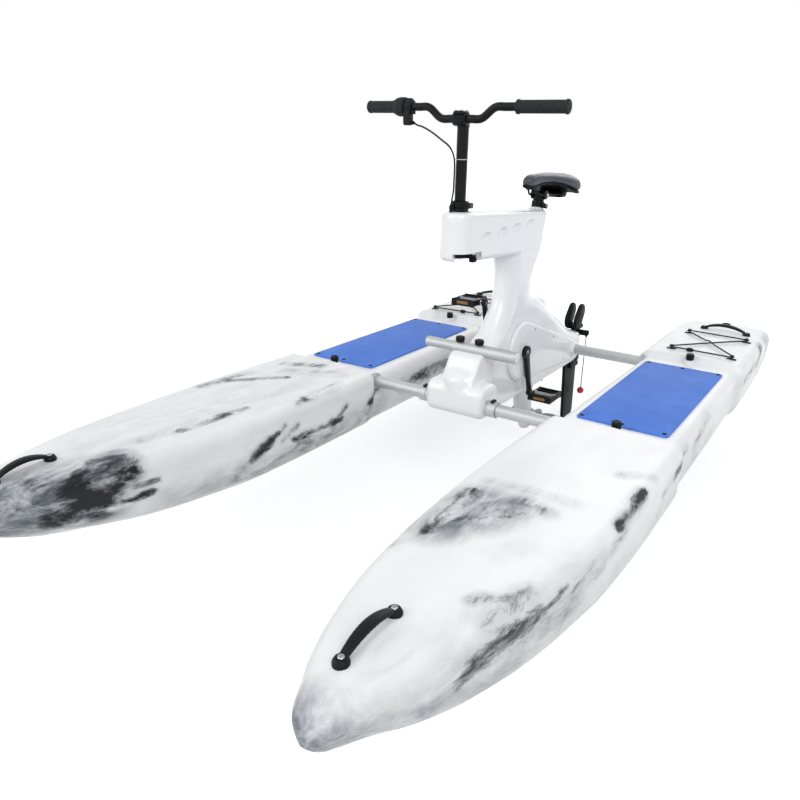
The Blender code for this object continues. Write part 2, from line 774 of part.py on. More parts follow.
def tilted_beam(wall=0.0):
    return turned_about(lofted(beam_rings(wall)), (0, STEER_Y, BEAM_TOP_Z), "X", BEAM_TILT)


def nose_block(wall=0.0):
    """The rounded block round the front cross tube."""
    low = (NOSE_OUTLINE[0][0] + wall, NOSE_OUTLINE[0][1] + wall)
    high = (NOSE_OUTLINE[2][0] - wall, NOSE_OUTLINE[2][1] - wall)
    rings = []
    half = NOSE_HALF_LENGTH - wall
    for x, inset in ((-half, 0.010), (-half + 0.003, 0.003), (-half + 0.010, 0), (half - 0.010, 0),
                     (half - 0.003, 0.003), (half, 0.010)):
        corners = box_outline((low[0] + inset, low[1] + inset), (high[0] - inset, high[1] - inset))
        rings.append([(x, y, z) for y, z in rounded(corners, NOSE_RADIUS - inset, 2 if wall else 4)])
    return lofted(rings)


def seat_axis(distance):
    """A point on the seatpost's axis, above the middle of its socket."""
    return (0.0, SEAT_Y + distance * sin(SEAT_TILT), SEAT_Z + distance * cos(SEAT_TILT))


def leaned(shape):
    """A shape built round the vertical through the seat socket, leaned onto the seatpost's axis."""
    return turned_about(shape, (0, SEAT_Y, SEAT_Z), "X", -SEAT_TILT)


def make_housing():
    """The moulded shell: nose, drive body, column, beam and steering head in one hollow piece."""
    housing = solid("centre_housing", lofted([body_ring(*row) for row in BODY_LINES]), "housing_shell")
    join(housing, tilted_beam(), "beam")
    join(housing, nose_block(), "nose")
    rows = [(BODY_LINES[0][0] + BODY_WALL, *BODY_LINES[0][1:]), *BODY_LINES[3::2]]
    cavity = tool("housing_cavity", lofted([body_ring(*row, BODY_WALL, 3) for row in rows]))
    join(cavity, tilted_beam(BODY_WALL), "beam_room")
    join(cavity, nose_block(0.006), "nose_room")
    front = disc(TUBE_BOSS_RADIUS, -0.12, 0.12, (0, FRONT_TUBE_Y, TUBE_Z), "X", 14)
    rear = disc(TUBE_BOSS_RADIUS, -0.12, 0.12, (0, REAR_TUBE_Y, TUBE_Z), "X", 16)
    head = disc(STEERER_RADIUS + 0.006, 0.80, 1.0, (0, STEER_Y, 0), "Z", 16)
    seat = leaned(disc(SEATPOST_RADIUS + 0.006, SEAT_Z - 0.15, SEAT_Z + 0.15, (0, SEAT_Y, 0), "Z", 16))
    stock = disc(RUDDER_STOCK_RADIUS + 0.014, 0.25, 0.45, (0, RUDDER_Y, 0), "Z", 16)
    cut(cavity, together(front, rear, head, seat, stock), "bosses")
    cut(housing, cavity, "cavity")
    bores = (
        disc(TUBE_RADIUS + GAP, -0.15, 0.15, (0, FRONT_TUBE_Y, TUBE_Z), "X", 20),
        disc(TUBE_RADIUS + GAP, -0.15, 0.15, (0, REAR_TUBE_Y, TUBE_Z), "X", 20),
        disc(STEERER_RADIUS + GAP, 0.80, 1.0, (0, STEER_Y, 0), "Z", STEERER_STEPS),
        leaned(disc(SEATPOST_RADIUS + GAP, SEAT_Z - 0.148, SEAT_Z + 0.15, (0, SEAT_Y, 0), "Z")),
        disc(RUDDER_STOCK_RADIUS + GAP, 0.25, 0.45, (0, RUDDER_Y, 0), "Z", 20),
        disc(AXLE_RADIUS + GAP, -0.08, 0.08, (0, CRANK_Y, CRANK_Z), "X", 20),
        disc(0.021, 0.27, 0.31, (0, DRIVE_Y, 0), "Z", 20),
    )
    cut(housing, together(*bores), "bores")
    pocket = hull_of_circles((0.0, STEER_Y), STEERER_RADIUS + 0.011, (0.060, STEER_Y + 0.013), 0.050)
    return cut(housing, prism(pocket, 0.78, STEERER_BOTTOM_Z + 0.0165, "Z"), "arm_pocket")


def make_cover(side, label):
    """The teardrop cover over the belt on one side of the housing."""
    crank = (CRANK_Y, CRANK_Z)
    rings = []
    edge = 0.006
    depth = COVER_OUTER_X - COVER_INNER_X
    for x, inset in ((0, 0), (depth - edge, 0), (depth - edge * 0.3, edge * 0.35), (depth, edge)):
        outline = hull_of_circles(crank, COVER_RADIUS - inset, COVER_TAIL, COVER_TAIL_RADIUS - inset)
        rings.append([(side * (COVER_INNER_X + x), y, z) for y, z in outline])
    cover = solid(f"drive_cover_{label}", lofted(rings), "housing_shell")
    rings = []
    for x, inset in ((-0.01, COVER_WALL), (depth - COVER_WALL, COVER_WALL + 0.002)):
        outline = hull_of_circles(crank, COVER_RADIUS - inset, COVER_TAIL, COVER_TAIL_RADIUS - inset)
        rings.append([(side * (COVER_INNER_X + x), y, z) for y, z in outline])
    room = tool(f"drive_cover_{label}_room", lofted(rings))
    cut(cover, room, "room")
    low, high = sorted((side * 0.03, side * 0.09))
    holes = (
        disc(AXLE_RADIUS + RUNNING_GAP, low, high, (0, *crank), "X"),
        disc(TUBE_RADIUS + RUNNING_GAP, low, high, (0, REAR_TUBE_Y, TUBE_Z), "X"),
    )
    return cut(cover, together(*holes), "holes")


# Foot bar
def make_foot_bar():
    """The telescoping foot bar: outer sleeve, inner tube and two clamp knobs."""
    centre = (0, FOOT_BAR_Y, FOOT_BAR_Z)
    sleeve = solid(
        "foot_bar_sleeve",
        ring(FOOT_TUBE_RADIUS + 0.0005, FOOT_SLEEVE_RADIUS, FOOT_SLEEVE_START_X, FOOT_BAR_HALF_LENGTH, centre, "X"),
        "satin_aluminium",
    )
    top = FOOT_BAR_Z + FOOT_TUBE_RADIUS - 0.008
    holes = [disc(STUD_RADIUS + GAP, top, top + 0.02, (x, FOOT_BAR_Y, 0), "Z", 12) for x in FOOT_KNOB_X]
    cut(sleeve, together(*holes), "stud_holes")
    tube = solid(
        "foot_bar_tube",
        ring(FOOT_TUBE_RADIUS - TUBE_WALL, FOOT_TUBE_RADIUS, -FOOT_BAR_HALF_LENGTH, 0.110, centre, "X"),
        "satin_aluminium",
    )
    base = FOOT_BAR_Z + FOOT_SLEEVE_RADIUS + 0.0012
    stud = base - (FOOT_BAR_Z + FOOT_TUBE_RADIUS + GAP)
    knobs = [
        make_knob(f"foot_bar_knob_{label}", (x, FOOT_BAR_Y, base), 0.016, FOOT_KNOB_RADIUS, stud)
        for label, x in zip(("starboard", "port"), FOOT_KNOB_X)
    ]
    return sleeve, tube, knobs


def foot_cradle():
    """The moulded saddle under the foot bar, part of the housing."""
    low = (FOOT_BAR_Y - 0.024, 0.470)
    high = (FOOT_BAR_Y + 0.026, FOOT_BAR_Z + 0.004)
    return prism(rounded(box_outline(low, high), 0.004, 2), -0.030, 0.030, "X")


# Cranks and pedals
def crank_point(distance, side):
    """A point along a crank arm from the axle, as (y, z)."""
    y = CRANK_Y + side * distance * sin(CRANK_LEAN)
    return y, CRANK_Z - side * distance * cos(CRANK_LEAN)


def make_crank(side, label):
    """A forged crank arm with the pedal's spindle."""
    end = crank_point(CRANK_ARM, side)
    hub = (CRANK_Y, CRANK_Z)
    rings = []
    half = CRANK_ARM_THICKNESS / 2
    for x, inset in ((-half, 0.0025), (-half + 0.0025, 0), (half - 0.0025, 0), (half, 0.0025)):
        outline = hull_of_circles(hub, 0.0195 - inset, end, 0.0135 - inset, 16)
        rings.append([(side * (CRANK_ARM_X + x), y, z) for y, z in outline])
    arm = solid(f"crank_arm_{label}", lofted(rings), "black_paint", (side * CRANK_ARM_X, *hub))
    low, high = sorted((side * CRANK_ARM_X, side * (PEDAL_INNER_X + PEDAL_WIDTH - 0.006)))
    join(arm, disc(SPINDLE_RADIUS, low, high, (0, *end), "X", 16), "spindle")
    low, high = sorted((side * 0.06, side * 0.09))
    return cut(arm, disc(AXLE_RADIUS + GAP, low, high, (0, *hub), "X", 20), "axle_hole")


def make_pedal(side, label):
    """A platform pedal with two windows, running on the spindle."""
    y, z = crank_point(CRANK_ARM, side)
    low_x, high_x = sorted((side * PEDAL_INNER_X, side * (PEDAL_INNER_X + PEDAL_WIDTH)))
    rings = []
    for lift, inset in ((-0.5, 0.003), (-0.3, 0), (0.3, 0), (0.5, 0.003)):
        corners = box_outline(
            (low_x + inset, y - PEDAL_LENGTH / 2 + inset), (high_x - inset, y + PEDAL_LENGTH / 2 - inset)
        )
        rings.append([(u, v, z + lift * PEDAL_HEIGHT) for u, v in rounded(corners, 0.014 - inset, 3)])
    pedal = solid(f"pedal_{label}", lofted(rings), "black_plastic", ((low_x + high_x) / 2, y, z))
    windows = []
    for sign in (-1, 1):
        near, far = sorted((y + sign * 0.013, y + sign * 0.036))
        outline = box_outline((low_x + 0.010, near), (high_x - 0.010, far))
        windows.append(prism(outline, z - 0.03, z + 0.03, "Z"))
    cut(pedal, together(*windows), "windows")
    low, high = sorted((side * (PEDAL_INNER_X - 0.01), side * (PEDAL_INNER_X + PEDAL_WIDTH - 0.0055)))
    return cut(pedal, disc(SPINDLE_RADIUS + GAP, low, high, (0, y, z), "X", 16), "bore")


def make_axle():
    """The crank axle, through both covers and the belt pulley."""
    reach = CRANK_ARM_X + CRANK_ARM_THICKNESS / 2 + 0.001
    profile = (
        (0, -reach),
        (AXLE_RADIUS - 0.0015, -reach),
        (AXLE_RADIUS, -reach + 0.0015),
        (AXLE_RADIUS, reach - 0.0015),
        (AXLE_RADIUS - 0.0015, reach),
        (0, reach),
    )
    return solid("crank_axle", turned(profile, (0, CRANK_Y, CRANK_Z), "X", 20), "steel", (0, CRANK_Y, CRANK_Z))


# Belt stage
def make_crank_pulley():
    """The large belt pulley on the crank axle, with a thin web."""
    half = BELT_WIDTH / 2 + 0.001
    rim = CRANK_PULLEY_RADIUS
    bore = AXLE_RADIUS + GAP
    profile = (
        (bore, -half), (0.018, -half), (0.018, -0.002), (rim - 0.008, -0.002), (rim - 0.008, -half),
        (rim, -half), (rim, half), (bore, half),
    )
    centre = (BELT_X, CRANK_Y, CRANK_Z)
    return solid("crank_pulley", turned(profile, centre, "X", 26), "grey_casting", (0, CRANK_Y, CRANK_Z))


def make_belt():
    """The ribbed belt from the crank pulley to the jackshaft, as a flat loop."""
    outlines = []
    for offset in (2 * GAP, 2 * GAP + BELT_THICKNESS):
        outlines.append(hull_of_circles(
            (CRANK_Y, CRANK_Z), CRANK_PULLEY_RADIUS + offset,
            (DRIVE_Y, JACKSHAFT_Z), JACK_PULLEY_RADIUS + offset, 22,
        ))
    inner, outer = outlines
    low, high = BELT_X - BELT_WIDTH / 2, BELT_X + BELT_WIDTH / 2
    rows = [(inner, low), (outer, low), (outer, high), (inner, high)]
    points = [(x, y, z) for outline, x in rows for y, z in outline]
    count = len(inner)
    faces = []
    for row in range(4):
        for step in range(count):
            following = (step + 1) % count
            first, second = row * count, (row + 1) % 4 * count
            faces.append((first + step, first + following, second + following, second + step))
    return solid("drive_belt", (points, faces), "rubber")


def make_jackshaft():
    """The jackshaft with its small belt pulley, turned in one piece."""
    half = BELT_WIDTH / 2 + 0.001
    reach = 0.0385
    profile = (
        (0, -reach), (JACKSHAFT_RADIUS, -reach), (JACKSHAFT_RADIUS, BELT_X - half),
        (JACK_PULLEY_RADIUS, BELT_X - half), (JACK_PULLEY_RADIUS, BELT_X + half),
        (JACKSHAFT_RADIUS, BELT_X + half), (JACKSHAFT_RADIUS, reach), (0, reach),
    )
    centre = (0, DRIVE_Y, JACKSHAFT_Z)
    return solid("jackshaft", turned(profile, centre, "X", 24), "steel", centre)


# Bevel stages
def bevel_gear(name, apex, outward, towards_mate, teeth, mate_teeth, module, bore, meshing_gap):
    """A straight bevel gear whose teeth run to the apex; meshing_gap puts a gap at the mate."""
    pitch, mate_pitch = 0.5 * module * teeth, 0.5 * module * mate_teeth
    reach = hypot(pitch, mate_pitch)
    cone = atan2(pitch, mate_pitch)
    tip, root = cone + atan2(module, reach), cone - atan2(1.25 * module, reach)
    step = 2 * pi / teeth
    back = mate_pitch * 1.0 + 0.0065
    hub = max(bore + 0.004, 0.42 * pitch)
    heel, toe, hub_ring, back_bore, front_bore = [], [], [], [], []
    for tooth in range(teeth):
        middle = step * (tooth + 0.5 * meshing_gap)
        for share, angle in ((-0.30, root), (-0.13, tip), (0.13, tip), (0.30, root)):
            turn = middle + share * step
            spot = np.array((sin(angle) * cos(turn), sin(angle) * sin(turn), cos(angle))) * reach
            heel.append(spot)
            toe.append(spot * (1 - FACE_SHARE))
        turn = middle - 0.30 * step
        for rows, radius, height in (
            (hub_ring, hub, back), (back_bore, bore, back), (front_bore, bore, mate_pitch * (1 - FACE_SHARE)),
        ):
            rows.append(np.array((radius * cos(turn), radius * sin(turn), height)))
    rows = [heel, toe, hub_ring, back_bore, front_bore]
    starts = np.cumsum([0] + [len(row) for row in rows])
    faces = []
    for i in range(teeth):
        after = (i + 1) % teeth
        edge = [4 * i, 4 * i + 1, 4 * i + 2, 4 * i + 3, 4 * after]
        faces += [(a, b, starts[1] + b, starts[1] + a) for a, b in zip(edge, edge[1:])]
        faces.append((*edge, starts[2] + after, starts[2] + i))
        faces.append((starts[2] + i, starts[2] + after, starts[3] + after, starts[3] + i))
        faces.append((starts[3] + i, starts[3] + after, starts[4] + after, starts[4] + i))
        faces.append((*(starts[1] + k for k in edge), starts[4] + after, starts[4] + i))
    z = np.array(outward, float)
    x = np.array(towards_mate, float)
    y = np.cross(z, x)
    points = [tuple(np.array(apex) + p[0] * x + p[1] * y + p[2] * z) for row in rows for p in row]
    faces = [tuple(int(k) for k in face) for face in faces]
    return solid(name, (points, faces), "steel", apex)


def make_bevels():
    """Both bevel pairs: jackshaft to leg shaft, and leg shaft to propeller shaft."""
    upper = (0, DRIVE_Y, JACKSHAFT_Z)
    lower = (0, DRIVE_Y, PROPELLER_Z)
    wheel = bevel_gear("upper_bevel_wheel", upper, (1, 0, 0), (0, 0, -1), UPPER_WHEEL_TEETH,
                       UPPER_PINION_TEETH, UPPER_MODULE, JACKSHAFT_RADIUS + GAP, 0)
    pinion = bevel_gear("upper_bevel_pinion", upper, (0, 0, -1), (1, 0, 0), UPPER_PINION_TEETH,
                        UPPER_WHEEL_TEETH, UPPER_MODULE, LEG_SHAFT_RADIUS + GAP, 1)
    leg_wheel = bevel_gear("lower_bevel_wheel", lower, (0, 0, 1), (0, 1, 0), LOWER_WHEEL_TEETH,
                           LOWER_PINION_TEETH, LOWER_MODULE, LEG_SHAFT_RADIUS + GAP, 0)
    leg_pinion = bevel_gear("lower_bevel_pinion", lower, (0, 1, 0), (0, 0, 1), LOWER_PINION_TEETH,
                            LOWER_WHEEL_TEETH, LOWER_MODULE, PROP_SHAFT_RADIUS + GAP, 1)
    return wheel, pinion, leg_wheel, leg_pinion


def make_bracket():
    """The fork over the leg that carries the jackshaft."""
    outer, inner = 0.0385, 0.0335
    bottom, floor, top = 0.2965, 0.318, 0.417
    outline = (
        (-outer, bottom), (-inner, bottom), (-inner, floor), (inner, floor), (inner, bottom), (outer, bottom),
        (outer, top), (inner, top), (inner, floor + 0.006), (-inner, floor + 0.006), (-inner, top), (-outer, top),
    )
    bracket = solid("gear_bracket", prism(outline, DRIVE_Y - 0.022, DRIVE_Y + 0.022, "Y"), "grey_casting")
    holes = (
        disc(JACKSHAFT_RADIUS + GAP, -0.06, 0.06, (0, DRIVE_Y, JACKSHAFT_Z), "X", 20),
        disc(LEG_SHAFT_RADIUS + GAP, floor - 0.01, floor + 0.02, (0, DRIVE_Y, 0), "Z", 20),
    )
    return cut(bracket, together(*holes), "holes")


def make_leg_shaft():
    """The upright shaft between the two bevel stages."""
    low = PROPELLER_Z + 0.5 * LOWER_MODULE * LOWER_PINION_TEETH * (1 - FACE_SHARE)
    high = JACKSHAFT_Z - 0.5 * UPPER_MODULE * UPPER_WHEEL_TEETH * (1 - FACE_SHARE)
    shape = disc(LEG_SHAFT_RADIUS, low, high, (0, DRIVE_Y, 0), "Z", 16)
    return solid("leg_shaft", shape, "steel", (0, DRIVE_Y, PROPELLER_Z))


def make_drive_leg():
    """The streamlined leg and pod under the housing, hollow for the shafts and the lower bevels."""
    rings = []
    for z, front, rear, half in LEG_LINES:
        middle, length = (front + rear) / 2, rear - front
        rings.append([
            (half * sin(a) * (1 + 0.25 * cos(a)), middle - 0.5 * length * cos(a), z)
            for a in np.arange(16) * pi / 8
        ])
    leg = solid("drive_leg", lofted(rings), "grey_casting")
    profile = [(0, POD_START_Y)]
    for share in (0.06, 0.25, 0.55, 1.0):
        profile.append((POD_RADIUS * sqrt(1 - (1 - share) ** 2), POD_START_Y + 0.034 * share))
    profile += [(POD_RADIUS, POD_END_Y - 0.034), (0.0165, POD_END_Y), (0, POD_END_Y)]
    join(leg, turned(profile, (0, 0, PROPELLER_Z), "Y", 20), "pod")
    start_y, end_y, half_x = LEG_FLANGE
    outline = rounded(box_outline((-half_x, start_y), (half_x, end_y)), 0.012, 3)
    top = BODY_LINES[0][0] - 0.0005
    join(leg, prism(outline, top - LEG_FLANGE_THICKNESS, top, "Z"), "flange")
    bores = (
        disc(LEG_SHAFT_RADIUS + RUNNING_GAP, PROPELLER_Z, 0.35, (0, DRIVE_Y, 0), "Z", 16),
    )
    cut(leg, together(*bores), "shaft_bore")
    room = (
        (0, DRIVE_Y - 0.020), (0.014, DRIVE_Y - 0.020), (0.0215, DRIVE_Y - 0.008), (0.0215, DRIVE_Y + 0.026),
        (PROP_SHAFT_RADIUS + RUNNING_GAP, DRIVE_Y + 0.034), (PROP_SHAFT_RADIUS + RUNNING_GAP, 0.56), (0, 0.56),
    )
    return cut(leg, turned(room, (0, 0, PROPELLER_Z), "Y", 20), "gear_room")


def make_prop_shaft():
    """The propeller shaft with its cone nut."""
    start = DRIVE_Y + 0.5 * LOWER_MODULE * LOWER_WHEEL_TEETH * (1 - FACE_SHARE)
    profile = (
        (0, start), (PROP_SHAFT_RADIUS, start), (PROP_SHAFT_RADIUS, PROPELLER_Y + 0.0225),
        (0.0135, PROPELLER_Y + 0.0225), (0.0130, PROPELLER_Y + 0.030), (0.0085, PROPELLER_Y + 0.041),
        (0, PROPELLER_Y + 0.045),
    )
    centre = (0, 0, PROPELLER_Z)
    return solid("propeller_shaft", turned(profile, centre, "Y", 20), "steel", (0, PROPELLER_Y, PROPELLER_Z))


def make_propeller():
    """A two-bladed propeller with cambered, twisted blades."""
    hub = ring(PROP_SHAFT_RADIUS + GAP, PROPELLER_HUB_RADIUS, PROPELLER_Y - 0.022, PROPELLER_Y + 0.022,
               (0, 0, PROPELLER_Z), "Y", 24)
    propeller = solid("propeller", hub, "grey_casting", (0, PROPELLER_Y, PROPELLER_Z))
    blades = []
    for side in (1, -1):
        rings = []
        for share in (0.08, 0.16, 0.28, 0.42, 0.56, 0.70, 0.82, 0.92, 0.98, 1.0):
            radius = share * PROPELLER_RADIUS
            chord = 0.030 + 0.020 * sin(pi * min(1, share * 1.05)) if share < 0.9 else 0.034 * (1.14 - share) / 0.24
            chord = max(chord, 0.008)
            thick = 0.0046 * (1 - 0.72 * share)
            rake = atan2(PROPELLER_PITCH, 2 * pi * max(radius, 0.016))
            section = []
            for a in np.arange(12) * pi / 6 + pi / 12:
                along = 0.5 * chord * cos(a)
                camber = 0.0022 * (1 - (2 * along / chord) ** 2)
                section.append((along, thick * sin(a) + camber))
            rings.append([
                (
                    side * radius,
                    PROPELLER_Y - u * sin(rake) - w * cos(rake),
                    PROPELLER_Z + side * (u * cos(rake) - w * sin(rake)),
                )
                for u, w in section
            ])
        blades.append(lofted(rings))
    return join(propeller, together(*blades), "blades")


# Steering
def make_steerer():
    """The steerer tube that turns in the head."""
    shape = ring(
        STEERER_RADIUS - STEERER_WALL, STEERER_RADIUS, STEERER_BOTTOM_Z, STEERER_TOP_Z, (0, STEER_Y, 0), "Z",
        STEERER_STEPS,
    )
    return solid("steerer", shape, "black_paint", (0, STEER_Y, STEERER_TOP_Z))


def make_post():
    """The handlepost with the stem clamp welded to its top."""
    shape = ring(POST_RADIUS - 0.0025, POST_RADIUS, POST_BOTTOM_Z, BAR_Z - 0.006, (0, STEER_Y, 0))
    post = solid("handlepost", shape, "black_paint", (0, STEER_Y, STEERER_TOP_Z))
    profile = (
        (0, -STEM_HALF_WIDTH), (STEM_RADIUS - 0.003, -STEM_HALF_WIDTH), (STEM_RADIUS, -STEM_HALF_WIDTH + 0.003),
        (STEM_RADIUS, STEM_HALF_WIDTH - 0.003), (STEM_RADIUS - 0.003, STEM_HALF_WIDTH), (0, STEM_HALF_WIDTH),
    )
    join(post, turned(profile, (0, BAR_Y, BAR_Z), "X", 20), "stem")
    return cut(post, disc(BAR_RADIUS + GAP, -0.05, 0.05, (0, BAR_Y, BAR_Z), "X", 20), "bar_bore")


def make_collar(name, centre_y, low, high, bore, steps=16):
    """A split clamp collar with two ears behind it and the skewer that draws them together."""
    collar = solid(name, ring(bore + GAP, bore + 0.0055, low, high, (0, centre_y, 0), "Z", steps), "black_paint")
    ear_start = centre_y + bore + 0.003
    ears = [(-0.010, ear_start), (0.010, ear_start), (0.010, ear_start + 0.017), (-0.010, ear_start + 0.017)]
    join(collar, prism(ears, low + 0.003, high - 0.003, "Z"), "ears")
    slot = [(-0.001, centre_y + 0.010), (0.001, centre_y + 0.010), (0.001, ear_start + 0.03), (-0.001, ear_start + 0.03)]
    cut(collar, prism(slot, low - 0.01, high + 0.01, "Z"), "slot")
    skewer = turned(
        ((0, -0.0165), (0.006, -0.0165), (0.006, -0.0095), (0.0025, -0.0095), (0.0025, 0.0095), (0.0055, 0.0095),
         (0.0055, 0.0110), (0, 0.0110)),
        (0, ear_start + 0.010, (low + high) / 2), "X", 12,
    )
    return join(collar, skewer, "skewer")


def lever_shape(centre_y, low, high, bore):
    """A quick-release cam at the skewer's end and a lever curled round the collar."""
    middle = (low + high) / 2
    pivot_y = centre_y + bore + 0.013
    radius = bore + 0.0105
    path = [(0.0185, pivot_y), (0.0240, pivot_y - 0.003)]
    for angle in np.linspace(radians(26), radians(-48), 8):
        path.append((radius * cos(angle) + 0.002, centre_y + radius * sin(angle)))
    rings = []
    for i, (x, y) in enumerate(path):
        share = i / (len(path) - 1)
        half = 0.0062 - 0.0012 * share
        turn = atan2(y - centre_y, x)
        wide = 0.0028
        rings.append([
            (x + wide * cos(turn), y + wide * sin(turn), middle - half),
            (x + wide * cos(turn), y + wide * sin(turn), middle + half),
            (x - wide * cos(turn), y - wide * sin(turn), middle + half),
            (x - wide * cos(turn), y - wide * sin(turn), middle - half),
        ])
    cam = disc(0.0072, middle - 0.0075, middle + 0.0075, (0.0185, pivot_y, 0), "Z", 16)
    return lofted(rings), cam, (0.0185, pivot_y, middle)


def make_bar():
    """The low-rise handlebar."""
    half = [
        (0.0, 0.0, 0.0),
        (0.032, 0.0, 0.0),
        (0.066, 0.0, 0.002),
        (0.104, 0.0, BAR_RISE - 0.002),
        (0.140, BAR_SWEEP, BAR_RISE),
        (0.200, BAR_SWEEP, BAR_RISE),
        (BAR_HALF_LENGTH, BAR_SWEEP, BAR_RISE),
    ]
    port = [(x, BAR_Y + y, BAR_Z + z) for x, y, z in half]
    starboard = [(-x, y, z) for x, y, z in reversed(port[1:])]
    path = eased([*starboard, *port], 1)
    return round_bar("handlebar", path, BAR_RADIUS, "black_paint", resolution=3)


def make_grip(name, start_x):
    """A rubber grip with a closed end."""
    side = 1 if start_x > 0 else -1
    end = BAR_HALF_LENGTH + 0.003
    bore = BAR_RADIUS + GAP
    profile = (
        (bore, abs(start_x)), (GRIP_RADIUS + 0.0016, abs(start_x)), (GRIP_RADIUS + 0.0016, abs(start_x) + 0.005),
        (GRIP_RADIUS - 0.001, abs(start_x) + 0.008), (GRIP_RADIUS, end - 0.012), (GRIP_RADIUS + 0.001, end - 0.009),
        (GRIP_RADIUS, end - 0.001), (0, end), (0, BAR_HALF_LENGTH + GAP), (bore, BAR_HALF_LENGTH + GAP),
    )
    return solid(name, grip_skin(profile, side), "rubber")


def grip_skin(profile, side):
    """The grip's outline turned about the bar, open at its inner end."""
    steps = 16
    y, z = BAR_Y + BAR_SWEEP, BAR_Z + BAR_RISE
    points = []
    rows = []
    for radius, height in profile:
        if radius == 0:
            rows.append([len(points)] * steps)
            points.append((side * height, y, z))
            continue
        rows.append(list(range(len(points), len(points) + steps)))
        points += [
            (side * height, y + radius * cos(a), z + radius * sin(a)) for a in np.arange(steps) * 2 * pi / steps
        ]
    faces = []
    pairs = [*zip(rows, rows[1:]), (rows[-1], rows[0])]
    for low, high in pairs:
        if low[0] == low[1] and high[0] == high[1]:
            continue
        for step in range(steps):
            following = (step + 1) % steps
            corners = (low[step], low[following], high[following], high[step])
            faces.append(tuple(dict.fromkeys(corners)))
    return points, faces


def make_shifter():
    """The twist ring and its fixed body with the cable outlet."""
    centre = (0, BAR_Y + BAR_SWEEP, BAR_Z + BAR_RISE)
    start, end = SHIFTER_X
    bore = BAR_RADIUS + GAP
    profile = (
        (bore, start), (SHIFTER_RADIUS - 0.005, start), (SHIFTER_RADIUS - 0.001, start + 0.008),
        (SHIFTER_RADIUS, start + 0.020), (SHIFTER_RADIUS, end - 0.002), (SHIFTER_RADIUS - 0.002, end), (bore, end),
    )
    twist = solid("shifter_ring", turned(profile, centre, "X", 18), "rubber", ((start + end) / 2, *centre[1:]))
    low, high = end + RUNNING_GAP, end + 0.024
    body = solid("shifter_body", ring(bore, 0.0185, low, high, centre, "X", 16), "black_plastic")
    box = rounded(box_outline((centre[1] - 0.022, 1.200), (centre[1] + 0.004, centre[2] - 0.0125)), 0.006, 3)
    join(body, prism(box, low, high - 0.001, "X"), "outlet")
    return twist, body


def make_cable():
    """The shift cable, from the shifter down the post to the head."""
    x = SHIFTER_X[1] + 0.0243
    path = eased([
        (x, -0.176, 1.207), (-0.148, -0.180, 1.202), (-0.120, -0.187, 1.198), (-0.086, -0.191, 1.183),
        (-0.052, -0.191, 1.163), (-0.026, -0.189, 1.146), (-0.013, -0.1860, 1.124), (-0.010, -0.1850, 1.100),
        (-0.010, -0.1850, 1.060), (-0.010, -0.1860, 1.025), (-0.010, -0.1930, 1.002), (-0.010, -0.1960, 0.985),
        (-0.010, -0.1965, 0.9700),
    ], 1)
    return round_bar("shift_cable", path, CABLE_RADIUS, "cord")


def make_steering_arm():
    """The arm under the head that works the rudder's push-pull cable."""
    start = (0.0, STEER_Y)
    end = (0.050, STEER_Y + 0.004)
    low, high = STEERER_BOTTOM_Z + 0.0015, STEERER_BOTTOM_Z + 0.0125
    outline = hull_of_circles(start, STEERER_RADIUS + 0.007, end, 0.0085, 20)
    arm = solid("steering_arm", prism(outline, low, high, "Z"), "black_plastic", (*start, low))
    joint = disc(0.0065, low - 0.009, low + 0.004, (*end, 0), "Z", 12)
    join(arm, joint, "joint")
    rod = disc(0.003, end[1], end[1] + 0.040, (end[0], 0, low - 0.0048), "Y", 10)
    join(arm, rod, "rod")
    bore = disc(STEERER_RADIUS + GAP, low - 0.02, high + 0.02, (0, STEER_Y, 0), "Z", STEERER_STEPS)
    return cut(arm, bore, "bore")


# Saddle
def make_seatpost():
    """The seatpost, in its socket in the column."""
    profile = (
        (SEATPOST_RADIUS - 0.0025, SEAT_Z - SEATPOST_BELOW), (SEATPOST_RADIUS, SEAT_Z - SEATPOST_BELOW),
        (SEATPOST_RADIUS, SEAT_Z + SEATPOST_ABOVE), (SEATPOST_RADIUS - 0.0025, SEAT_Z + SEATPOST_ABOVE),
    )
    return solid("seatpost", leaned(turned(profile, (0, SEAT_Y, 0))), "black_paint", seat_axis(0))


